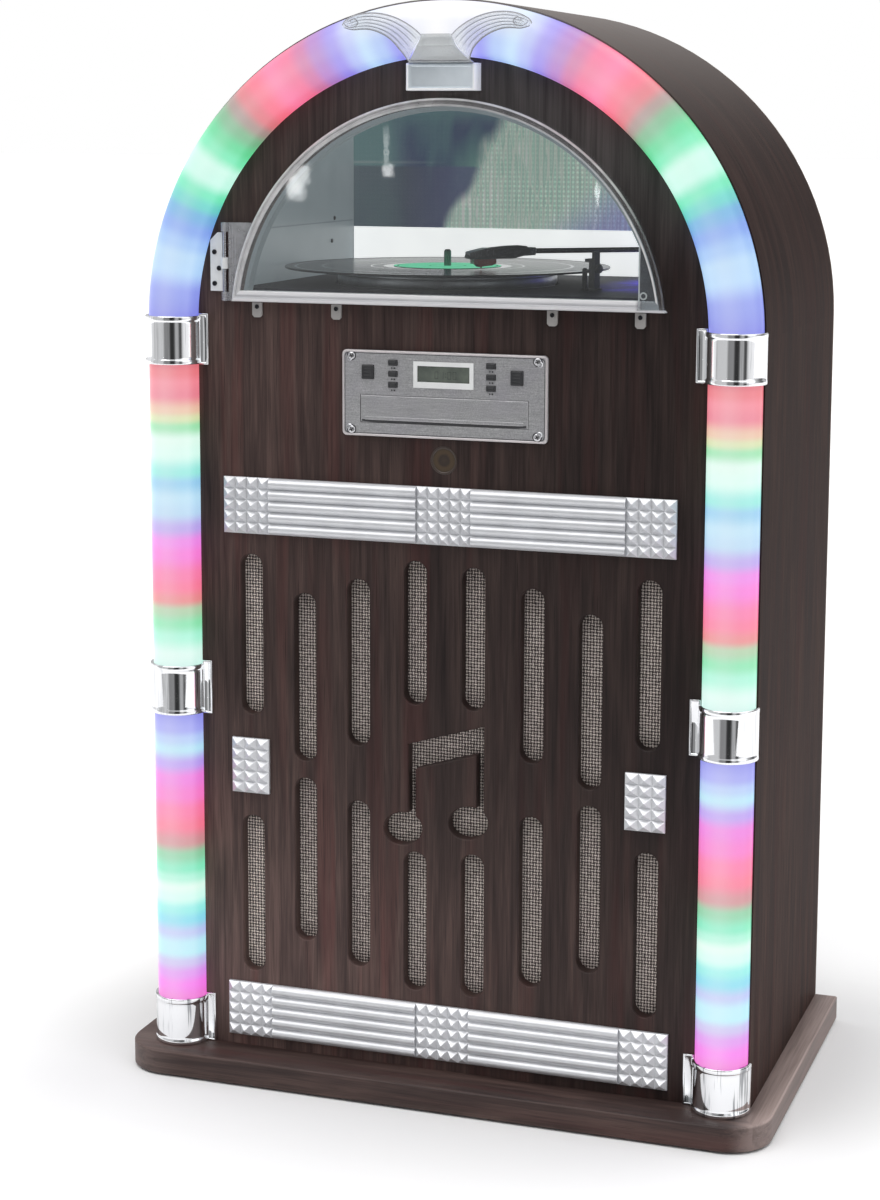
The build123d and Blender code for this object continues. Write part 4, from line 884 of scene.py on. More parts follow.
def m_crown():
    """Silver moulding whose raised margins are drawn near white, less metallic and glowing, as painted highlights."""
    m = Mat("crown_silver")
    x, y, z = m.xyz()
    n = m.noise(m.obj, 60.0, 2.0)
    # painted highlight: the margins at the sides and the foot are drawn near white, less metallic, and glow
    ex = m.span(m.math("ABSOLUTE", x), 0.0283, 0.0296, 0.0, 1.0)
    ez = m.span(z, (880.4 + 24.5) / 1000, (879.4 + 24.5) / 1000, 0.0, 1.0)
    edge = m.math("MAXIMUM", ex, ez)
    face = m.mix(m.span(n, 0.3, 0.7), (0.78, 0.85, 0.90, 1), (0.70, 0.77, 0.82, 1))
    col = m.mix(edge, face, (0.95, 0.97, 0.98, 1))
    return m.done(m.shader(base=col, metal=m.span(edge, 0.0, 1.0, 0.35, 0.10), rough=0.34, coat=0.15, coat_rough=0.15,
                           emit=m.mix(edge, (0, 0, 0, 1), (0.9, 0.93, 0.96, 1)), power=0.16))


M_CROWN = m_crown()
M_SATIN = m_satin()
M_CLOTH = m_cloth()
M_CLEAR = m_clear()
M_FLANGE = m_rim("clear_flange", (0.66, 0.65, 0.67, 1), 0.62, 0.18)
M_RIM = m_door_edge()
M_BAR = m_door_bar()
M_MILKY = m_rim("milky_plastic", (0.72, 0.75, 0.76, 1), 0.25, 0.30)
M_OUTLINE = m_plastic("moulded_line", (0.36, 0.365, 0.39, 1), 0.5, 0.05, 400.0, 0.05, 0.0)
M_GLASS = m_glass()
M_CREST = m_crest()
M_FOIL = m_foil()
M_LINER = m_liner()
M_RECORD = m_record()
M_DECK = m_deck()
M_LCD = m_lcd()
M_BLACK = m_plastic("black_plastic", (0.022, 0.022, 0.024, 1), 0.42, 0.3)
M_KEY = m_plastic("key_plastic", (0.030, 0.031, 0.034, 1), 0.36, 0.45, 2600.0)
M_CLIP = m_plastic("clip_plastic", (0.36, 0.345, 0.335, 1), 0.34, 0.20, 700.0, 0.10, 0.3)
M_WHITE = m_plastic("white_plastic", (0.86, 0.87, 0.865, 1), 0.30, 0.08, 800.0, 0.08, 0.2)
M_ARM = m_plastic("arm_enamel", (0.018, 0.018, 0.020, 1), 0.22, 0.08, 900.0, 0.2, 0.5)
M_HEAD = m_plastic("headshell", (0.020, 0.018, 0.018, 1), 0.38, 0.2)
M_CART = m_plastic("cartridge_red", (0.30, 0.055, 0.035, 1), 0.22, 0.08, 800.0, 0.3, 0.5)


def m_ir():
    """Brown window, with painted shade darker in the middle, where the hollow behind it begins."""
    m = Mat("ir_window")
    x, y, z = m.xyz()
    r = m.length(m.vec(m.math("ADD", x, 0.0004), 0.0, m.math("SUBTRACT", z, 0.5835)))
    n = m.noise(m.obj, 260.0, 3.0, 0.6)
    rr = m.math("MULTIPLY_ADD", m.math("SUBTRACT", n, 0.5), 0.0022, r)
    col = m.ramp(m.math("MULTIPLY", rr, 80.0), [(0.0, (0.040, 0.026, 0.018, 1)), (0.34, (0.028, 0.018, 0.013, 1)),
                                                (0.55, (0.066, 0.041, 0.021, 1)), (0.80, (0.052, 0.034, 0.018, 1)),
                                                (0.93, (0.024, 0.016, 0.012, 1))])
    return m.done(m.shader(base=col, rough=0.36, normal=m.bump(n, 0.05, 0.0002)))


M_IR = m_ir()
M_IREDGE = m_plastic("ir_edge", (0.048, 0.030, 0.022, 1), 0.40, 0.05, 500.0, 0.3, 0.2)
M_SMOKE = m_plastic("smoked_plate", (0.045, 0.048, 0.060, 1), 0.14, 0.05, 500.0, 0.4, 0.6)
M_STEEL = m_metal("bright_steel", (0.66, 0.66, 0.68, 1), 0.26)


def m_screws():
    """Bright at the rear and on the module, blackened on the front board."""
    m = Mat("screw_finish")
    x, y, z = m.xyz()
    n = m.noise(m.obj, 900.0, 2.0)
    front = m.math("LESS_THAN", y, (2.0 - 135.6) / 1000)
    module = m.math("MULTIPLY", m.math("LESS_THAN", z, (660 + 24.5) / 1000), m.math("LESS_THAN", m.math("ABSOLUTE", x), 0.1))
    dark = m.math("MULTIPLY", front, m.math("SUBTRACT", 1.0, module))
    col = m.mix(dark, (0.70, 0.71, 0.73, 1), (0.035, 0.035, 0.04, 1))
    return m.done(m.shader(base=m.mix(m.span(n, 0.3, 0.7, 0.0, 0.3), col, (0.02, 0.02, 0.02, 1)), metal=0.8,
                           rough=m.span(n, 0.3, 0.7, 0.22, 0.36), normal=m.bump(n, 0.08, 0.0001)))


M_SCREW = m_screws()
M_ZINC = m_metal("zinc_sheet", (0.52, 0.54, 0.56, 1), 0.36, (1, 1, 0.2), 320.0)
M_CAST = m_metal("cast_platter", (0.42, 0.43, 0.45, 1), 0.34)


def m_platter():
    """Cast metal with a green anodised spindle."""
    m = Mat("platter_casting")
    x, y, z = m.xyz()
    n = m.noise(m.obj, 900.0, 2.0, 0.6)
    r = m.length(m.vec(m.math("ADD", x, 0.050), m.math("SUBTRACT", y, 0.0164), 0.0))
    pin = m.math("LESS_THAN", r, 0.0045)
    col = m.mix(m.span(n, 0.3, 0.7), (0.36, 0.37, 0.39, 1), (0.46, 0.47, 0.49, 1))
    green = m.mix(m.span(n, 0.3, 0.7), (0.050, 0.190, 0.135, 1), (0.085, 0.270, 0.195, 1))
    return m.done(m.shader(base=m.mix(pin, col, green), metal=0.9, rough=m.span(n, 0.3, 0.7, 0.28, 0.38),
                           normal=m.bump(n, 0.06, 0.0001)))


M_PLATTER = m_platter()
M_BRASS = m_metal("gold_flash", (0.78, 0.58, 0.26, 1), 0.24)


def m_sockets():
    """Gilt phono jacks; the mains inlet is dark plastic."""
    m = Mat("rear_socket_finish")
    x, y, z = m.xyz()
    n = m.noise(m.obj, 900.0, 2.0)
    wide = m.math("LESS_THAN", m.math("ABSOLUTE", m.math("SUBTRACT", x, 0.0120)), 0.0170)
    tall = m.math("LESS_THAN", m.math("ABSOLUTE", m.math("SUBTRACT", z, 0.1305)), 0.0130)
    pins = m.length(m.vec(m.math("SUBTRACT", m.math("ABSOLUTE", m.math("SUBTRACT", x, 0.0120)), 0.0043), 0.0, m.math("SUBTRACT", z, 0.1305)))
    inlet = m.math("MULTIPLY", m.math("MULTIPLY", wide, tall), m.math("GREATER_THAN", pins, 0.00125))
    gilt = m.mix(m.span(n, 0.3, 0.7), (0.80, 0.60, 0.27, 1), (0.70, 0.50, 0.21, 1))
    dark = m.mix(m.span(n, 0.3, 0.7), (0.018, 0.018, 0.020, 1), (0.030, 0.030, 0.032, 1))
    return m.done(m.shader(base=m.mix(inlet, gilt, dark), metal=m.math("SUBTRACT", 1.0, inlet),
                           rough=m.math("MULTIPLY_ADD", inlet, 0.18, m.span(n, 0.3, 0.7, 0.20, 0.30)),
                           normal=m.bump(n, 0.08, 0.0001)))


M_SOCKETS = m_sockets()
M_PRESSED = m_metal("pressed_steel", (0.045, 0.045, 0.048, 1), 0.45, metal=0.4)
M_RUBBER = m_rubber("rubber", (0.012, 0.012, 0.012, 1))
M_MAT = m_rubber("ribbed_mat", (0.010, 0.010, 0.010, 1), 2 * math.pi / 0.0022)
M_POM = m_plastic("acetal", (0.78, 0.78, 0.75, 1), 0.4, 0.15)
M_CONE = m_cone("pressed_cone", (0.016, 0.016, 0.018, 1))
M_PCB = m_pcb()
M_TRAFO = m_transformer()
M_LEDS = m_ledstrip()
M_DIGIT = m_plastic("lcd_segment", (0.020, 0.024, 0.022, 1), 0.4, 0.1)
M_INK = m_plastic("dark_line", (0.035, 0.035, 0.038, 1), 0.5, 0.1)

node_material = {
    "amplifier_board": M_PCB, "arch_diffusers": M_LITARC, "arch_panel": M_ARCH, "arm_gimbal": M_ARM,
    "arm_rest": M_BLACK, "back_panel": M_HARDBOARD, "base_plinth": M_BASE, "bay_liners": M_LINER,
    "cartridge": M_CART, "cd_faceplate": M_SATIN, "cd_module_case": M_ZINC, "cd_tray": M_SATIN,
    "clamp_rings": M_CHROME, "clear_door": M_CLEAR, "column_diffusers": M_LIT, "crown_block": M_SILVER,
    "crown_crest": M_CREST, "cue_lever": M_BLACK, "deck_shelf": M_CHIP, "disc_hub": M_BLACK,
    "display_bezel": M_WHITE, "display_glass": M_LCD, "door_clips": M_CLIP, "drive_belt": M_RUBBER,
    "foot_pads": M_RUBBER, "front_panel": M_FRONT, "function_key": M_KEY, "grille_cloth": M_CLOTH,
    "hinge_pin": M_STEEL, "hinge_plate": M_WHITE, "ir_window": M_IR, "latch_plate": M_SMOKE,
    "led_strips": M_LEDS, "left_button_1": M_KEY, "left_button_2": M_KEY, "left_button_3": M_KEY,
    "left_side_panel": M_SIDE, "motor_pulley": M_BRASS, "platter": M_PLATTER, "power_rocker": M_BLACK,
    "power_transformer": M_TRAFO, "rear_foil": M_FOIL, "rear_sockets": M_SOCKETS, "right_button_1": M_KEY,
    "right_button_2": M_KEY, "right_button_3": M_KEY, "right_side_panel": M_SIDE, "silver_trims": M_TRIM,
    "slip_mat": M_MAT, "standby_key": M_KEY, "terminal_dish": M_BLACK, "tonearm": M_ARM,
    "tray_pinion": M_POM, "turntable_deck": M_DECK, "turntable_motor": M_STEEL, "tweeters": M_CONE,
    "vinyl_record": M_RECORD, "wood_screws": M_SCREW, "woofer_baskets": M_PRESSED, "woofer_cones": M_CONE,
}
for name, ob in NODES.items():
    ob.data.materials.clear()
    ob.data.materials.append(node_material[name])


# ------------------------------------------------------- silver relief trims
def relief(b, x0, x1, z0, z1, cols, rows, kind, base=-2.8, top=-7.0):
    """One closed block: studs of pyramids, or rounded ribs running along x."""
    if kind == "studs":
        cw, ch = (x1 - x0) / cols, (z1 - z0) / rows
        v, f = [], []
        for j in range(rows + 1):
            for i in range(cols + 1):
                v.append((x0 + i * cw, base, z0 + j * ch))
        def at(i, j):
            return j * (cols + 1) + i
        for j in range(rows):
            for i in range(cols):
                cx, cz, t = x0 + (i + 0.5) * cw, z0 + (j + 0.5) * ch, 0.045
                k = len(v)
                v += [(cx - cw * t, top, cz - ch * t), (cx + cw * t, top, cz - ch * t),
                      (cx + cw * t, top, cz + ch * t), (cx - cw * t, top, cz + ch * t)]
                q = [at(i, j), at(i + 1, j), at(i + 1, j + 1), at(i, j + 1)]
                for e in range(4):
                    f.append((q[e], q[(e + 1) % 4], k + (e + 1) % 4, k + e))
                f.append((k, k + 1, k + 2, k + 3))
        k = len(v)
        rim = [at(i, 0) for i in range(cols + 1)] + [at(cols, j) for j in range(1, rows + 1)] + \
            [at(i, rows) for i in range(cols - 1, -1, -1)] + [at(0, j) for j in range(rows - 1, 0, -1)]
        v += [(v[i][0], 0.0, v[i][2]) for i in rim]
        n = len(rim)
        for e in range(n):
            f.append((rim[e], k + e, k + (e + 1) % n, rim[(e + 1) % n]))
        f.append(tuple(k + e for e in range(n)))
        b.add(v, f)
    else:
        ch = (z1 - z0) / rows
        prof = []
        for j in range(rows):
            for s in range(11):
                t = s / 10.0
                h = max(0.0, math.sin(math.pi * t)) ** 0.8
                if s == 10 and j < rows - 1:
                    continue
                prof.append((base + (top - base) * h, z0 + (j + t) * ch))
        pts = [(0.0, z0)] + prof + [(0.0, z1)]
        ra = [(x0, y, z) for y, z in pts]
        rb = [(x1, y, z) for y, z in pts]
        b.tube_loft([ra, rb])


tr = Build()
for zt in (535.3, 61.4):
    zb = zt - 51.1
    relief(tr, -209.5, -165.1, zb, zt, 4, 5, "studs")
    relief(tr, -165.1, -25.0, zb, zt, 0, 5, "ribs")
    relief(tr, -25.0, 26.0, zb, zt, 5, 5, "studs")
    relief(tr, 26.0, 165.1, zb, zt, 0, 5, "ribs")
    relief(tr, 165.1, 209.5, zb, zt, 4, 5, "studs")
for s in (-1, 1):
    relief(tr, s * 185.7 - 18.1, s * 185.7 + 18.1, 243.2, 294.4, 3, 5, "studs")
tr.make("relief_trims", [M_TRIM], "cabinet", "silver_plastic", smooth=28.0, replaces=["silver_trims"])


# ------------------------------------------------------------ chromed clamps
def clamp(b, s, z0, z1, tz0, tz1):
    R, lip, inner = 25.6, 0.9, 23.55
    zs = []
    zz = [0, 0.25, 0.6, 1.1, 2.2, 3.4, 4.3, 4.9, 5.4]
    zs = [z0 + q for q in zz] + [z0 + (z1 - z0) * k / 6 for k in (1, 2, 3, 4, 5)] + [z1 - q for q in zz[::-1]]
    zs = sorted(set(round(q, 4) for q in zs))
    degs = [0, 0.8, 2, 4, 7, 9, 10.5, 12] + [12 + k * 4.0 for k in range(1, 39)] + [168, 169.5, 171, 173, 176, 178, 179.2, 180]
    degs = sorted(set(round(d, 3) for d in degs))

    def ease(q, w0, w1):
        t = min(max((q - w0) / (w1 - w0), 0.0), 1.0)
        return 1 - t * t * (3 - 2 * t)

    rows = []
    for z in zs:
        d = min(z - z0, z1 - z)
        roll = 0.55 * (1 - min(d / 1.1, 1.0)) ** 2
        row = []
        for a in degs:
            e = min(a, 180 - a) * math.pi / 180 * R
            rise = max(ease(d, 3.4, 5.4), ease(e, 3.2, 5.2) * 0.8)
            r = R + lip * rise - roll
            t = math.radians(180 + a)
            row.append((s * TUBE_PITCH + r * math.cos(t), min(r * math.sin(t), 0.0), z))
        rows.append(row)
    back = []
    for z in (z0, z1):
        back.append([(s * TUBE_PITCH + inner * math.cos(math.radians(180 + a)),
                      min(inner * math.sin(math.radians(180 + a)), 0.0), z) for a in degs])
    b.grid([back[0]] + rows + [back[1], back[0]])
    n = len(degs)
    for k in (0, n - 1):
        loop = [back[0][k]] + [r[k] for r in rows] + [back[1][k]]
        b.add(loop, [tuple(range(len(loop)))])
    # screw-down tab on the inner side, a shallow tray with a raised edge
    x0, x1 = sorted((s * 223.6, s * (TUBE_PITCH - TUBE_R - 1.0)))
    rings = []
    for q, y in ((0, 0.0), (0, -2.3), (0.25, -2.8), (0.7, -3.0), (1.3, -2.95), (1.7, -2.5), (2.1, -2.2)):
        rings.append([(x0 + q, y, tz0 + q), (x1 - q, y, tz0 + q), (x1 - q, y, tz1 - q), (x0 + q, y, tz1 - q)])
    b.tube_loft(rings)


cl = Build()
for s in (-1, 1):
    for z0, z1, a, c in ((0.05, 44.5, 0.05, 46.5), (315.2, 361.0, 314.6, 364.0), (636.2, 679.5, 635.6, 681.5)):
        clamp(cl, s, z0, z1, a, c)
cl.make("tube_clamps", [M_CHROME], "cabinet", "chrome", smooth=50.0, replaces=["clamp_rings"])


# ----------------------------------------------------- lit tubes, drawn finely
def half_tube_column(b, s, z0, z1):
    n = 40
    nz = 24
    outer, inner = [], []
    for k in range(nz + 1):
        z = z0 + (z1 - z0) * k / nz
        outer.append([(s * TUBE_PITCH + TUBE_R * math.cos(math.pi + math.pi * i / n),
                       TUBE_R * math.sin(math.pi + math.pi * i / n) if 0 < i < n else 0.0, z) for i in range(n + 1)])
    r2 = TUBE_R - 2.0
    for k in (nz, 0):
        z = z0 + (z1 - z0) * k / nz
        inner.append([(s * TUBE_PITCH + r2 * math.cos(math.pi + math.pi * i / n),
                       r2 * math.sin(math.pi + math.pi * i / n) if 0 < i < n else 0.0, z) for i in range(n + 1)])
    b.grid(outer + inner + [outer[0]])
    for i in (0, n):
        loop = [o[i] for o in outer] + [q[i] for q in inner]
        b.add(loop, [tuple(range(len(loop)))])


co = Build()
for s in (-1, 1):
    half_tube_column(co, s, 0.5, 337.9)
    half_tube_column(co, s, 338.0, ARCH_Z)
co.make("tube_columns", [M_LIT], "cabinet", "diffuser", smooth=60.0, replaces=["column_diffusers"])

ar = Build()
for s in (-1, 1):
    n, na = 36, 72
    rows = []
    for k in range(na + 1):
        a = math.radians(0.0 + 90.0 * k / na)
        row = []
        for i in range(n + 1):
            t = math.pi + math.pi * i / n
            rr = TUBE_PITCH + TUBE_R * math.cos(t)
            yy = TUBE_R * math.sin(t) if 0 < i < n else 0.0
            row.append((s * rr * math.cos(a), yy, ARCH_Z + rr * math.sin(a)))
        for i in range(n + 1):
            t = 2 * math.pi - math.pi * i / n
            rr = TUBE_PITCH + (TUBE_R - 2.0) * math.cos(t)
            yy = (TUBE_R - 2.0) * math.sin(t) if 0 < i < n else 0.0
            row.append((s * rr * math.cos(a), yy, ARCH_Z + rr * math.sin(a)))
        rows.append(row)
    ar.tube_loft(rows)
ar.make("tube_arch", [M_LITARC], "cabinet", "diffuser", smooth=60.0, replaces=["arch_diffusers"])

# --------------------------------------------------------------- clear door
DOOR_R, DOOR_Z = 199.0, 693.5


def half_moon(d, n=120):
    zb = DOOR_Z + d * 9.8 / 7.5
    r = DOOR_R - d
    a0 = math.asin((zb - ARCH_Z) / r)
    return [(r * math.cos(a0 + (math.pi - 2 * a0) * i / n), ARCH_Z + r * math.sin(a0 + (math.pi - 2 * a0) * i / n))
            for i in range(n + 1)]


dr = Build()
prof = [(0.0, -0.4), (0.0, -7.4), (0.35, -8.6), (1.1, -9.5), (2.0, -9.95), (2.7, -9.9), (3.1, -9.35), (3.6, -8.9),
        (4.1, -9.3), (4.6, -9.8), (5.4, -9.95), (6.6, -9.8), (7.2, -9.3), (7.5, -8.4), (7.5, -0.4)]
loops = [[(x, y, z) for x, z in half_moon(d)] for d, y in prof]
n = len(loops[0])
v = [p for lp in loops for p in lp]
faces, mats = [], []
for k in range(len(loops)):
    k2 = (k + 1) % len(loops)
    for i in range(n):
        i2 = (i + 1) % n
        faces.append((k * n + i, k2 * n + i, k2 * n + i2, k * n + i2))
        mats.append(1 if i == n - 1 else 0)
base_i = len(dr.v)
dr.v += [P(*p) for p in v]
dr.f += faces
dr.m += mats
dr.make("door_rim", [M_RIM, M_BAR], "door", "clear", smooth=35.0, replaces=["clear_door"])

dp = Build()
pane = half_moon(7.2)
dp.prism_y(pane, -9.3, -7.6)
dp.make("door_window", [M_CLEAR], "door", "clear", smooth=30.0)

fl = Build()
arc = []
for i in range(13):
    z = DOOR_Z + (763.0 - DOOR_Z) * i / 12
    arc.append((-math.sqrt((DOOR_R - 0.6) ** 2 - (z - ARCH_Z) ** 2), z))
outline = [(-202.4, DOOR_Z), (-202.4, 763.0)] + arc[::-1]
fl.prism_y(outline, -3.6, -0.4)
for x in (-201.2, -198.6, -195.9):
    # drawn-in streaks where the flange is pulled thinner
    top = 762.0 if x < -197 else 752.0
    rings = []
    for z, w in ((DOOR_Z + 1.0, 0.2), (DOOR_Z + 6, 0.6), ((DOOR_Z + top) / 2, 0.8), (top - 5, 0.6), (top, 0.15)):
        rings.append([(x - w, -3.55, z), (x, -3.55 - w * 0.8, z), (x + w, -3.55, z)])
    fl.tube_loft(rings)
for z0, z1 in ((DOOR_Z, 701.4), (754.6, 763.0)):
    pr = [(1.5, z0), (2.7, z0), (3.2, z0 + 0.5), (3.2, z1 - 0.5), (2.7, z1), (1.5, z1)]
    rows = [[(-206.0 + r * math.cos(2 * math.pi * i / 40), -3.6 + r * math.sin(2 * math.pi * i / 40), z) for i in range(40)]
            for r, z in pr + [pr[0]]]
    fl.grid(rows, close_v=True)
    fl.slab(-203.6, -201.6, -3.6, -1.0, z0 + 0.2, z1 - 0.2)
fl.make("door_flange", [M_FLANGE], "door", "clear", smooth=35.0)

# bright free edge of the dark plate and the washer of its knob
le = Build()
le.slab(174.1, 175.5, -7.56, -7.44, 699.0, 750.6)
rows = [[(178.6 + r_ * math.cos(2 * math.pi * i / 36), y_, 707.5 + r_ * math.sin(2 * math.pi * i / 36)) for i in range(36)]
        for r_, y_ in ((2.0, -7.44), (2.0, -7.57), (3.3, -7.57), (3.3, -7.44), (2.0, -7.44))]
le.grid(rows, close_v=True)
le.make("latch_plate_edge", [M_MILKY], "door", "clear", smooth=30.0)

# ------------------------------------------------------------ crown ornament
bk = Build()
rings = []
for q, y in ((0, 0.0), (0, -10.5), (0.5, -12.2), (1.6, -13.6), (2.8, -14.0), (4.4, -13.9), (5.2, -13.2), (6.0, -12.9)):
    qz = q * 0.55
    rings.append([(-32 + q, y, 877.8 + qz), (32 - q, y, 877.8 + qz), (32 - q, y, 901.0 - qz), (-32 + q, y, 901.0 - qz)])
bk.tube_loft(rings)
bk.make("crown_frame", [M_CROWN], "cabinet", "silver_plastic", smooth=30.0, bevel=0.25, replaces=["crown_block"])

UP = [(13.5, 923.6), (19.0, 928.6), (27.5, 934.2), (38.0, 939.0), (50.0, 941.9), (62.0, 942.4), (73.0, 940.6), (81.5, 936.6), (84.6, 932.6)]
LO = [(27.5, 902.5), (30.2, 908.6), (35.5, 915.8), (42.0, 921.8), (50.0, 926.2), (58.5, 928.9), (66.5, 929.4), (75.0, 928.9), (82.6, 930.6)]


def wing(b, s):
    nt, ns = 44, 41
    up, lo = catmull(UP, nt), catmull(LO, nt)
    front, back = [], []
    for i in range(nt):
        t = i / (nt - 1)
        env = math.sin(math.pi * min(1.0, t * 0.96 + 0.06)) ** 0.5
        rf, rb = [], []
        for j in range(ns):
            q = j / (ns - 1)
            x = up[i][0] * (1 - q) + lo[i][0] * q
            z = up[i][1] * (1 - q) + lo[i][1] * q
            flute = abs(math.sin(math.pi * 5 * q)) ** 0.7
            lift = 1.2 + 2.7 * flute * env + 0.9 * math.sin(math.pi * q)
            # the curl near the tip
            d = math.hypot(x - 74.5, (z - 935.2) * 1.15)
            if d < 8.5:
                w = (1 - d / 8.5) ** 0.6
                lift = lift * (1 - w) + w * (3.6 + 1.0 * math.cos(d * 2.2))
            base_y = -24.8 if i > 9 else -24.8 + (1 - i / 9.0) * (1.2 + 17.0 * max(q - 0.55, 0))
            rf.append((s * x, base_y - lift, z))
            rb.append((s * x, base_y + 0.0, z))
        front.append(rf)
        back.append(rb)
    b.grid(front)
    b.grid(back)
    ring_f = front[0] + [r[-1] for r in front[1:]] + front[-1][-2::-1] + [r[0] for r in front[-2:0:-1]]
    ring_b = back[0] + [r[-1] for r in back[1:]] + back[-1][-2::-1] + [r[0] for r in back[-2:0:-1]]
    m = len(ring_f)
    b.add(ring_f + ring_b, [(i, (i + 1) % m, m + (i + 1) % m, m + i) for i in range(m)])


for s, nm in ((-1, "left"), (1, "right")):
    w = Build()
    wing(w, s)
    w.make("crest_wing_" + nm, [M_CREST], "cabinet", "clear", smooth=40.0,
           replaces=["crown_crest"] if s < 0 else ())

nk = Build()
rows_f, rows_b = [], []
zs = [901.2, 903.0, 905.5, 908.5, 912.0, 915.0, 917.5, 920.5, 923.2, 925.0]
for k, z in enumerate(zs):
    t = (z - 901.2) / (925.0 - 901.2)
    half = 29.5 * (1 - t) + 13.0 * t - 3.0 * math.sin(math.pi * t)
    y = -13.0 - 12.2 * min(1.0, t * 1.9) ** 0.8
    step = 0.9 if 913.5 < z < 916.0 else 0.0
    rf, rb = [], []
    for i in range(25):
        u = -1 + 2 * i / 24
        crown = 1.3 * (1 - u * u) + (0.7 if abs(abs(u) - 0.82) < 0.1 else 0.0)
        rf.append((u * half, y - crown - step, z + 0.0))
        rb.append((u * half, min(y + 3.2, -1.6), z))
    rows_f.append(rf)
    rows_b.append(rb)
nk.grid(rows_f)
nk.grid(rows_b)
rf = rows_f[0] + [r[-1] for r in rows_f[1:]] + rows_f[-1][-2::-1] + [r[0] for r in rows_f[-2:0:-1]]
rb = rows_b[0] + [r[-1] for r in rows_b[1:]] + rows_b[-1][-2::-1] + [r[0] for r in rows_b[-2:0:-1]]
m = len(rf)
nk.add(rf + rb, [(i, (i + 1) % m, m + (i + 1) % m, m + i) for i in range(m)])
nk.make("crest_neck", [M_MILKY], "cabinet", "clear", smooth=40.0)

# raised beads that outline the wings and their flutes
cb = Build()


def bead(b, pts, r0, n=10):
    """Round bead along a polyline, thinner at its ends."""
    k = len(pts)
    rings = []
    for i, p in enumerate(pts):
        a = Vector(pts[max(i - 1, 0)])
        c = Vector(pts[min(i + 1, k - 1)])
        t = (c - a).normalized()
        u = t.cross(Vector((0, 1, 0))).normalized()
        w = u.cross(t).normalized()
        rr = r0 * (0.45 + 0.55 * max(0.0, math.sin(math.pi * i / (k - 1))) ** 0.5)
        rings.append([tuple(Vector(p) + u * rr * math.cos(2 * math.pi * j / n) + w * rr * math.sin(2 * math.pi * j / n))
                      for j in range(n)])
    b.tube_loft(rings)


for s in (-1, 1):
    up_c, lo_c = catmull(UP, 40), catmull(LO, 40)
    for q, r_, i0, i1 in ((0.0, 0.75, 0, 40), (1.0, 0.75, 0, 40), (0.2, 0.42, 2, 36), (0.4, 0.42, 3, 35), (0.6, 0.42, 4, 34), (0.8, 0.42, 6, 33)):
        line = []
        for i in range(i0, i1):
            x = up_c[i][0] * (1 - q) + lo_c[i][0] * q
            z = up_c[i][1] * (1 - q) + lo_c[i][1] * q
            back = -25.6 if q in (0.0, 1.0) else -26.9
            line.append((s * x, back if i > 8 else back + (1 - i / 8.0) * (1.2 + 15.0 * max(q - 0.55, 0)), z))
        bead(cb, line, r_)
    # the curl at the wing's tip
    line = [(s * (74.2 + (1.6 + 0.55 * k) * math.cos(0.52 * k)), -28.6, 935.2 + (1.3 + 0.36 * k) * math.sin(0.52 * k)) for k in range(13)]
    bead(cb, line, 0.45)
for z, half in ((914.6, 15.8), (902.6, 26.5)):
    bead(cb, [(-half + 2 * half * i / 14, -24.6 if z > 910 else -16.6, z) for i in range(15)], 0.45)
cb.make("crest_beads", [M_OUTLINE], "cabinet", "clear", smooth=50.0)

# ------------------------------------------- disc module: rim, key caps, digits
def rounded(x0, x1, z0, z1, r, n=8):
    out = []
    for cx, cz, a0 in ((x1 - r, z1 - r, 0), (x0 + r, z1 - r, 90), (x0 + r, z0 + r, 180), (x1 - r, z0 + r, 270)):
        for i in range(n + 1):
            a = math.radians(a0 + 90.0 * i / n)
            out.append((cx + r * math.cos(a), cz + r * math.sin(a)))
    return out


fr = Build()
FZ0, FZ1, FX = 615.9 - 38.0, 615.9 + 38.0, 94.5
rings = []
for q, y in ((0.05, -0.1), (0.05, -2.4), (0.3, -3.1), (0.8, -3.5), (1.5, -3.55), (1.9, -3.3), (2.1, -2.9), (2.1, -1.5)):
    rings.append([(x, y, z) for x, z in rounded(-FX + q, FX - q, FZ0 + q, FZ1 - q, 4.0 - q * 0.6)])
k = len(rings[0])
fr.grid(rings + [rings[0]], close_v=True)
fr.make("faceplate_edge", [M_BRIGHT], "cabinet", "satin_silver", smooth=40.0)

# dark shadow line inside the edge
gl = Build()
rings = [[(x, y, z) for x, z in rounded(-FX + q, FX - q, FZ0 + q, FZ1 - q, 3.4)] for q, y in ((2.5, -3.02), (2.5, -3.08), (2.95, -3.08), (2.95, -3.02))]
gl.grid(rings + [rings[0]], close_v=True)
gl.make("faceplate_line", [M_INK], "cabinet", "satin_silver", smooth=40.0)


def segments(b, x, z, w, h, on, t=0.62, y=-3.04):
    """Seven-segment figure: bars as thin slabs."""
    bars = {"a": (x, x + w, z + h - t, z + h), "d": (x, x + w, z, z + t), "g": (x, x + w, z + h / 2 - t / 2, z + h / 2 + t / 2),
            "f": (x, x + t, z + h / 2, z + h), "b": (x + w - t, x + w, z + h / 2, z + h),
            "e": (x, x + t, z, z + h / 2), "c": (x + w - t, x + w, z, z + h / 2)}
    for k in on:
        x0, x1, z0, z1 = bars[k]
        e = 0.12
        b.slab(x0 + e, x1 - e, y, y + 0.05, z0 + e, z1 - e)


dg = Build()
FIG = {"0": "abcdef", "1": "bc", "2": "abged"}
segments(dg, -8.2, 630.6, 3.4, 6.6, FIG["0"])
segments(dg, -3.4, 630.6, 3.4, 6.6, FIG["1"])
dg.slab(1.6, 2.2, -3.04, -2.99, 632.0, 632.7)
dg.slab(1.6, 2.2, -3.04, -2.99, 635.0, 635.7)
segments(dg, 3.6, 630.6, 3.4, 6.6, FIG["0"])
segments(dg, 8.4, 630.6, 3.4, 6.6, FIG["0"])
dg.make("display_digits", [M_DIGIT], "cabinet", "lcd", smooth=30.0)


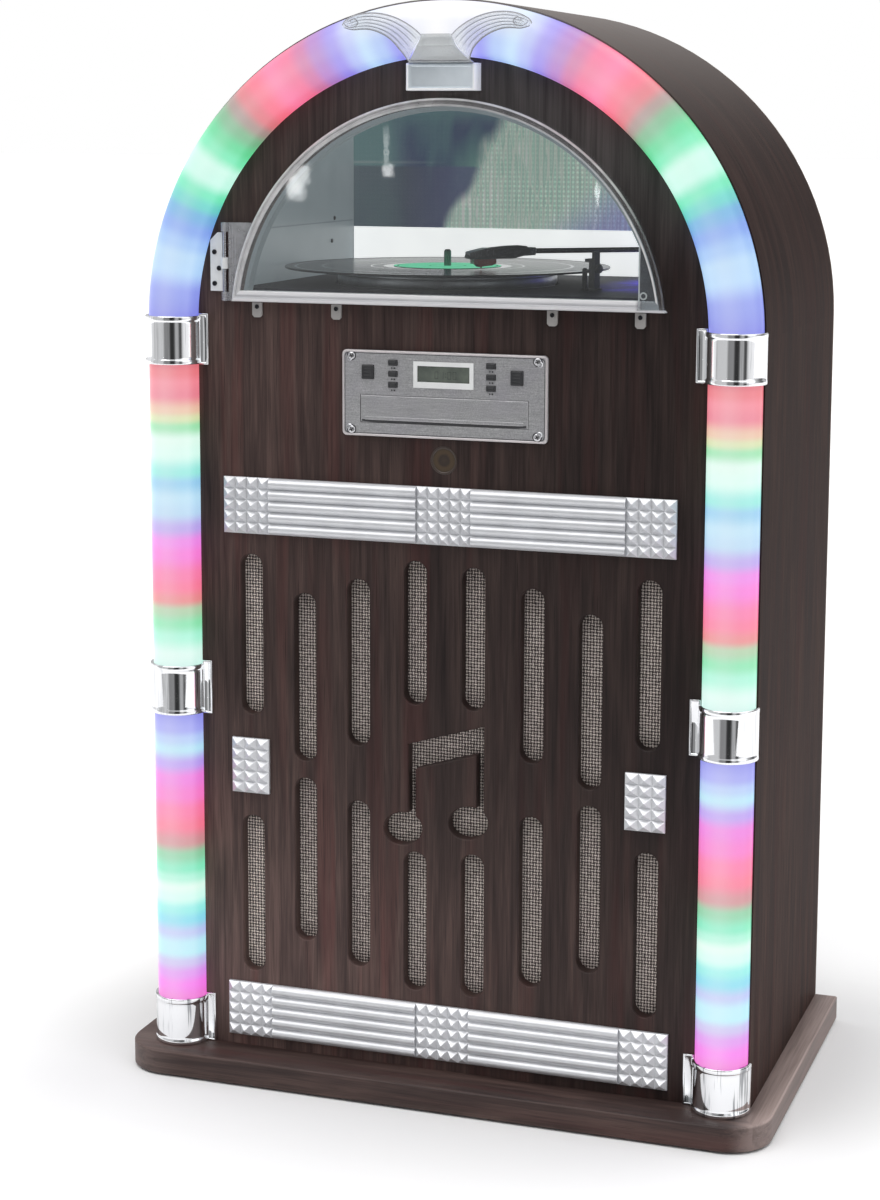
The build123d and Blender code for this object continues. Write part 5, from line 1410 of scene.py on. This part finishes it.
def cap(name, x, z, w, h, body):
    """A ribbed cap on the key's face."""
    b = Build()
    rings = []
    for q, y in ((0.55, -4.55), (0.75, -4.72), (1.15, -4.78), (1.6, -4.62)):
        rings.append([(a, y, c) for a, c in rounded(x - w / 2 + q, x + w / 2 - q, z - h / 2 + q, z + h / 2 - q, 0.5, 4)])
    b.tube_loft(rings)
    n = 3 if h > 8 else 1
    for i in range(n):
        zc = z + (i - (n - 1) / 2) * (h / (n + 1.2))
        pr = []
        for a in range(9):
            t = math.pi * a / 8
            pr.append((-4.6 - 0.34 * math.sin(t), zc - 0.5 * math.cos(t)))
        b.tube_loft([[(x - w * 0.30, y, c) for y, c in pr], [(x + w * 0.30, y, c) for y, c in pr]])
    b.make(name, [M_KEY], body, "black_plastic", smooth=35.0)


SMALL = [(x, z) for x in (-46.9, 43.3) for z in (643.4, 633.7, 624.0)]
NAMES = ["left_button_1", "left_button_2", "left_button_3", "right_button_1", "right_button_2", "right_button_3"]
for nm, (x, z) in zip(NAMES, SMALL):
    cap(nm + "_cap", x, z, 8.2, 4.6, nm + "_body")
for nm, (x, z) in zip(["standby_key", "function_key"], [(-70.2, 634.6), (66.8, 633.8)]):
    cap(nm + "_cap", x, z, 11.0, 12.2, nm + "_body")

# painted shade: a dark strip stands for the shadow in the groove along the foot of the tray front; above it, the finger
# lip
tl = Build()
tl.tube_loft([[(x, -3.42, 590.6 + e), (x, -3.55, 590.9 + e), (x, -3.55, 592.2 + e), (x, -3.42, 592.5 + e)]
              for x, e in ((-75.6, 0.5), (-66.0, 0.0), (66.0, 0.0), (75.6, 0.5))])
tl.make("tray_groove_shade_strip", [M_INK], "tray", "satin_silver", smooth=40.0)
tp = Build()
pr = []
for a in range(9):
    t = math.pi * a / 8
    pr.append((-3.40 - 0.30 * math.sin(t), 594.0 + 1.5 * math.cos(t)))
tp.tube_loft([[(-73.0, y, c) for y, c in pr], [(73.0, y, c) for y, c in pr]])
tp.make("tray_finger_lip", [M_SATIN], "tray", "satin_silver", smooth=40.0)

# pan heads at the faceplate's corners; painted shade: a dark cross stands for each cross recess, and a dark ring for
# the shade round each head's foot
sc = Build()
cr = Build()
for sx in (-85.6, 85.4):
    for sz in (583.4, 648.6):
        rings = []
        for r_, h_ in ((3.5, 0.0), (3.5, 0.35), (3.2, 0.8), (2.4, 1.25), (1.2, 1.45), (0.15, 1.5)):
            rings.append([(sx + r_ * math.cos(2 * math.pi * i / 36), -3.0 - h_, sz + r_ * math.sin(2 * math.pi * i / 36))
                          for i in range(36)])
        sc.tube_loft(rings)
        for ang in (0.4, 0.4 + math.pi / 2):
            c_, s_ = math.cos(ang), math.sin(ang)
            q = [(sx + c_ * a_ - s_ * b_, sz + s_ * a_ + c_ * b_) for a_, b_ in ((-2.0, -0.42), (2.0, -0.42), (2.0, 0.42), (-2.0, 0.42))]
            cr.prism_y(q, -4.56, -3.6)
        rows = []
        for r_, y_ in ((3.55, -3.02), (3.6, -3.14), (4.25, -3.14), (4.3, -3.02)):
            rows.append([(sx + r_ * math.cos(2 * math.pi * i / 36), y_, sz + r_ * math.sin(2 * math.pi * i / 36)) for i in range(36)])
        cr.grid(rows + [rows[0]], close_v=True)
sc.make("faceplate_screw_heads", [M_STEEL], "cabinet", "screw_steel", smooth=40.0)
cr.make("faceplate_screw_shade_inlays", [M_INK], "cabinet", "screw_steel", smooth=40.0)

# generic marks beside the small keys: play, stop, skip
mk = Build()
for x in (-46.9, 43.3):
    for z in (638.6, 628.9, 619.2):
        a_ = 0.95
        mk.prism_y([(x - 1.6, z - a_), (x + 0.1, z), (x - 1.6, z + a_)], -3.09, -3.02)
        mk.prism_y([(x + 0.7, z - a_ * 0.8), (x + 2.2, z - a_ * 0.8), (x + 2.2, z + a_ * 0.8), (x + 0.7, z + a_ * 0.8)], -3.09, -3.02)
mk.make("key_marks", [M_INK], "cabinet", "satin_silver", smooth=30.0)

# ---------------------------------------------- infrared window's turned ring
ir = Build()
rows = []
for r, y in ((12.35, 0.3), (12.3, -0.1), (11.7, -0.35), (10.9, -0.3), (10.4, 0.1), (10.2, 0.42)):
    rows.append([(-0.4 + r * math.cos(2 * math.pi * i / 72), y, 559.0 + r * math.sin(2 * math.pi * i / 72)) for i in range(72)])
ir.grid(rows + [rows[0]], close_v=True)
ir.make("ir_ring", [M_IREDGE], "cabinet", "ir", smooth=40.0)

# ---------------------------------------------- record compartment's details
def round_head(b, place, r, h, n=20, mat=0):
    rings = []
    for q, k in ((r, 0.0), (r, h * 0.35), (r * 0.86, h * 0.75), (r * 0.5, h), (r * 0.12, h)):
        rings.append([place(q * math.cos(2 * math.pi * i / n), q * math.sin(2 * math.pi * i / n), k) for i in range(n)])
    b.tube_loft(rings, mat)


ws = Build()
for y, z in ((262.0, 838.0), (254.0, 758.0), (247.0, 736.0)):
    round_head(ws, lambda a, c, k, y=y, z=z: (-203.4 + k, y + a, z + c), 2.1, 1.3)
ws.make("liner_screws", [M_INK], "cabinet", "liner", smooth=40.0)

# the platter's centre and the arm's fittings
ctr = (-50.0, 152.0)

cw = Build()
A = math.radians(215.4)
HEAD_X = -11.7
ARM = Matrix.Translation(Vector((150.0, 215.0, 736.0))) @ Matrix.Rotation(A, 4, "Z")


def on_arm(x, y, z):
    p = ARM @ Vector((x, y, z))
    return (p.x, p.y, p.z)


# knurled counterweight with its scale ring
rings = []
prof = [(-43.6, 3.0), (-43.4, 9.2), (-42.6, 10.0), (-34.0, 10.0), (-33.4, 9.3), (-32.6, 9.3), (-32.0, 10.0), (-25.6, 10.0), (-24.9, 9.2), (-24.7, 3.0)]
for x, r in prof:
    rings.append([on_arm(x, (r + (0.16 if (i % 2 and r > 9.9 and x < -33) else 0)) * math.cos(2 * math.pi * i / 64),
                         (r + (0.16 if (i % 2 and r > 9.9 and x < -33) else 0)) * math.sin(2 * math.pi * i / 64)) for i in range(64)])
cw.tube_loft(rings)
cw.make("arm_fittings", [M_ARM], "arm", "arm_metal", smooth=40.0)
# plated collar behind the headshell
co = Build()
rings = []
for x, r in ((135.2, 2.5), (135.5, 3.4), (137.4, 3.4), (137.6, 3.0), (138.6, 3.0), (138.8, 3.6), (141.2, 3.6), (141.5, 2.5)):
    rings.append([on_arm(x, r * math.cos(2 * math.pi * i / 32), r * math.sin(2 * math.pi * i / 32)) for i in range(32)])
co.tube_loft(rings)
co.make("headshell_collar", [M_STEEL], "arm", "arm_metal", smooth=40.0)

# shaped top of the headshell, sloping to its nose
hd = Build()
rings = []
for x, w, zt, zb in ((153.0, 3.4, 2.6, -2.6), (156, 5.0, 4.6, -4.0), (164, 5.8, 5.4, -5.2), (176, 6.3, 5.0, -6.4), (190, 7.4, 3.6, -6.6),
                     (202, 8.4, 1.4, -6.6), (210.5, 8.6, -1.8, -6.6), (212.0, 7.6, -3.4, -6.4)):
    ring = []
    for i in range(24):
        t = 2 * math.pi * i / 24
        c, q = math.cos(t), math.sin(t)
        cc = math.copysign(abs(c) ** 0.55, c)
        qq = math.copysign(abs(q) ** 0.6, q)
        ring.append(on_arm(x + HEAD_X, w * cc, (zt + zb) / 2 + (zt - zb) / 2 * qq))
    rings.append(ring)
hd.tube_loft(rings)
# finger lift, curling out to the side
pts = catmull([(201.0, -7.5, -2.8), (202.0, -12.0, -2.9), (203.0, -16.0, -2.2), (203.6, -18.6, -0.6)], 12)
rings = []
for i, p in enumerate(pts):
    w = 1.5 - 0.6 * i / 11
    rings.append([on_arm(p[0] + HEAD_X + w * math.cos(2 * math.pi * k / 12), p[1], p[2] + 0.55 * math.sin(2 * math.pi * k / 12)) for k in range(12)])
hd.tube_loft(rings)
hd.make("headshell_cover", [M_HEAD], "arm", "black_plastic", smooth=45.0)

# second post, link and thumb knob of the arm's rest
RA = math.radians(249.8)


def on_rest(x, y, z):
    return (150.0 + x * math.cos(RA) - y * math.sin(RA), 215.0 + x * math.sin(RA) + y * math.cos(RA), 736.0 + z)


rs = Build()
prof = [(1.0, -32.0), (4.4, -32.0), (4.4, -31.2), (3.6, -30.6), (2.5, -30.0), (2.3, -28.0), (2.3, -13.6), (2.0, -12.6), (1.0, -12.1)]
rs.tube_loft([[on_rest(131.0 + r * math.cos(2 * math.pi * i / 28), -6.6 + r * math.sin(2 * math.pi * i / 28), z) for i in range(28)]
              for r, z in prof])
rings = []
for y, w in ((-8.6, 0.7), (-8.0, 1.5), (-6.6, 1.9), (-2.0, 1.6), (3.0, 1.6), (6.0, 1.9)):
    rings.append([on_rest(131.0 + w * math.cos(2 * math.pi * i / 20), y, -14.6 + w * 0.9 * math.sin(2 * math.pi * i / 20)) for i in range(20)])
rs.tube_loft(rings)
rings = []
for y, r in ((5.9, 1.6), (6.6, 1.6), (6.7, 3.4), (7.3, 3.9), (9.4, 3.9), (10.1, 3.2), (10.3, 0.6)):
    rings.append([on_rest(130.0 + (r + (0.12 if i % 2 and r > 3.8 else 0)) * math.cos(2 * math.pi * i / 40), y,
                          -12.4 + (r + (0.12 if i % 2 and r > 3.8 else 0)) * math.sin(2 * math.pi * i / 40)) for i in range(40)])
rs.tube_loft(rings)
rs.make("arm_rest_fittings", [M_BLACK], "cabinet", "black_plastic", smooth=40.0)

# plated ring round the foot of the arm
gb = Build()
rows = []
for r, z in ((13.2, 724.2), (14.4, 724.4), (14.9, 723.6), (14.9, 721.2), (14.2, 720.6), (13.2, 720.8)):
    rows.append([(150.0 + r * math.cos(2 * math.pi * i / 64), 215.0 + r * math.sin(2 * math.pi * i / 64), z) for i in range(64)])
gb.grid(rows + [rows[0]], close_v=True)
gb.make("arm_base_ring", [M_STEEL], "cabinet", "steel", smooth=40.0)

# bead round the platter's edge
pb = Build()
rows = []
for r, z in ((100.05, 704.0), (101.2, 704.6), (101.7, 706.5), (101.7, 710.5), (101.2, 712.4), (100.05, 713.0), (99.6, 713.0), (99.6, 704.0)):
    rows.append([(ctr[0] + (r + (0.25 if i % 3 == 0 and r > 101 else 0)) * math.cos(2 * math.pi * i / 180),
                  ctr[1] + (r + (0.25 if i % 3 == 0 and r > 101 else 0)) * math.sin(2 * math.pi * i / 180), z) for i in range(180)])
pb.grid(rows + [rows[0]], close_v=True)
pb.make("platter_bead", [M_CAST], "platter_body", "cast", smooth=30.0)

# ------------------------------------------------------------- camera
cam_data = bpy.data.cameras.new("camera")
cam = bpy.data.objects.new("camera", cam_data)
bpy.context.scene.collection.objects.link(cam)
bpy.context.scene.camera = cam
cam_data.sensor_width = 36.0
cam_data.sensor_fit = "AUTO"
cam_data.lens = 73.62
cam_data.shift_x = 0.0
cam_data.shift_y = -0.0833
cam_data.clip_start, cam_data.clip_end = 0.05, 200.0
yaw, pitch, roll = 0.3348, 0.1519, 0.0029
fwd = Vector((-math.sin(yaw) * math.cos(pitch), math.cos(yaw) * math.cos(pitch), -math.sin(pitch)))
right = Vector((math.cos(yaw), math.sin(yaw), 0.0))
up = right.cross(fwd)
r2 = right * math.cos(roll) + up * math.sin(roll)
u2 = -right * math.sin(roll) + up * math.cos(roll)
rot = Matrix((r2, u2, -fwd)).transposed()
cam.matrix_world = Matrix.Translation(Vector((0.6947, -2.1438, 0.8739))) @ rot.to_4x4()

# ------------------------------------------------------- floor and light
fm = bpy.data.meshes.new("floor")
XS = [-40.0, -12.0, -4.0, -1.5, 0.0, 1.5, 4.0, 12.0, 40.0]
YS = [-1.15, 0.0, 1.5, 4.0, 12.0, 60.0]
fv = [(x, y, 0.0) for y in YS for x in XS]
ff = [(j * 9 + i, j * 9 + i + 1, (j + 1) * 9 + i + 1, (j + 1) * 9 + i) for j in range(len(YS) - 1) for i in range(8)]
fm.from_pydata(fv, [], ff)
floor = bpy.data.objects.new("floor", fm)
bpy.context.scene.collection.objects.link(floor)
mf = Mat("pale_floor")
nf = mf.noise(mf.obj, 3.0, 3.0, 0.5)
fcol = mf.mix(mf.span(nf, 0.3, 0.7), (0.875, 0.875, 0.88, 1), (0.89, 0.89, 0.89, 1))
fx, fy, fz = mf.xyz()
# painted light: the floor glows more the further it lies from the base, so the cast shadow fades out a short way from
# the cabinet
gapx = mf.math("MAXIMUM", mf.math("SUBTRACT", mf.math("ABSOLUTE", fx), 0.30), 0.0)
gapy = mf.math("MAXIMUM", mf.math("SUBTRACT", mf.math("ABSOLUTE", fy), 0.175), 0.0)
painted_floor_light = mf.span(mf.length(mf.vec(gapx, gapy, 0.0)), 0.0, 0.20, 0.0, 0.17, smooth=True)
fm.materials.append(mf.done(mf.shader(base=fcol, rough=0.9, spec=0.05, emit=(1, 1, 1, 1), power=painted_floor_light)))

world = bpy.data.worlds.new("studio")
bpy.context.scene.world = world
world.use_nodes = True
wt = world.node_tree
wt.nodes.clear()


class W(Mat):
    def __init__(self):
        self.t = wt
        self._obj = None


w = W()
gen = w.node("ShaderNodeTexCoord").outputs["Generated"]
x, y, z = w.xyz(gen)
az = w.math("MULTIPLY", w.math("ARCTAN2", x, w.math("MULTIPLY", y, -1.0)), 180 / math.pi)
STUDIO = [(-180, .55), (-135, .50), (-122, .85), (-75, .92), (-67, .52), (-60, .60), (-25, .62), (-17, .24), (1, .26),
          (5, .10), (8, .035), (19, .035), (23, .12), (28, .42), (37, .42), (41, .16), (45, .06), (50, .10), (55, .60),
          (61, .85), (81, .98), (88, .55), (103, .38), (111, .18), (126, .12), (134, .45), (150, .62), (180, .55)]
walls = w.ramp(w.math("MULTIPLY_ADD", az, 1 / 360.0, 0.5), [((a + 180) / 360.0, (v, v, v * 1.01, 1)) for a, v in STUDIO])
above = w.ramp(z, [(0.0, (0.52, 0.52, 0.53, 1)), (0.45, (0.62, 0.62, 0.63, 1)), (0.75, (0.74, 0.74, 0.75, 1)), (1.0, (0.80, 0.80, 0.81, 1))])
below = w.ramp(w.math("MULTIPLY", z, -1.0), [(0.0, (0.52, 0.52, 0.53, 1)), (0.35, (0.40, 0.40, 0.40, 1)), (1.0, (0.40, 0.40, 0.40, 1))])
rest_ = w.mix(w.math("GREATER_THAN", z, 0.0), below, above)
# the walls' bands fade out overhead and underfoot
fade = w.span(w.math("ABSOLUTE", z), 0.38, 0.72, 1.0, 0.0, smooth=True)
env = w.mix(fade, rest_, walls)
# three narrow lamps low in front, seen only as glints in the clear door
for a0, da, e0, de, power_ in ((-15.56, 0.060, -1.60, 0.36, 6.0), (-15.62, 0.028, -2.15, 0.50, 1.3),
                               (-20.45, 0.085, -0.55, 0.60, 3.0), (-20.40, 0.17, -1.06, 0.20, 6.5),
                               (-22.55, 0.30, -1.38, 0.42, 8.0), (-22.36, 0.20, -1.12, 0.30, 6.0)):
    za, dz_ = math.sin(math.radians(e0)), math.sin(math.radians(de))
    spot = w.math("MULTIPLY", w.span(w.math("ABSOLUTE", w.math("SUBTRACT", az, a0)), da * 0.3, da, 1.0, 0.0, smooth=True),
                  w.span(w.math("ABSOLUTE", w.math("SUBTRACT", z, za)), dz_ * 0.35, dz_, 1.0, 0.0, smooth=True))
    env = w.mix(spot, env, (power_, power_, power_, 1))
bg1 = wt.nodes.new("ShaderNodeBackground")
wt.links.new(env, bg1.inputs[0])
bg1.inputs[1].default_value = 1.0
bg2 = wt.nodes.new("ShaderNodeBackground")
bg2.inputs[0].default_value = (1.0, 1.0, 1.0, 1)
bg2.inputs[1].default_value = 1.0
lp = wt.nodes.new("ShaderNodeLightPath")
ms = wt.nodes.new("ShaderNodeMixShader")
wt.links.new(lp.outputs["Is Camera Ray"], ms.inputs[0])
wt.links.new(bg1.outputs[0], ms.inputs[1])
wt.links.new(bg2.outputs[0], ms.inputs[2])
wo = wt.nodes.new("ShaderNodeOutputWorld")
wt.links.new(ms.outputs[0], wo.inputs[0])


def sun(name, direction, strength, angle, colour=(1, 1, 1)):
    d = bpy.data.lights.new(name, "SUN")
    d.energy = strength
    d.angle = math.radians(angle)
    d.color = colour
    o = bpy.data.objects.new(name, d)
    bpy.context.scene.collection.objects.link(o)
    o.rotation_mode = "QUATERNION"
    o.rotation_quaternion = Vector(direction).to_track_quat("-Z", "Y")
    return o


sun("key", (0.30, 0.42, -1.05), 1.25, 50.0, (1.0, 0.99, 0.98))
sun("fill", (-0.80, 0.45, -0.60), 0.40, 60.0, (0.97, 0.985, 1.0))
sun("back", (-0.42, -0.55, -1.0), 0.50, 40.0, (1.0, 0.995, 0.99))

bpy.context.scene.view_settings.view_transform = "Standard"
bpy.context.scene.view_settings.look = "None"
bpy.context.scene.view_settings.exposure = 0.0
bpy.context.scene.view_settings.gamma = 1.0
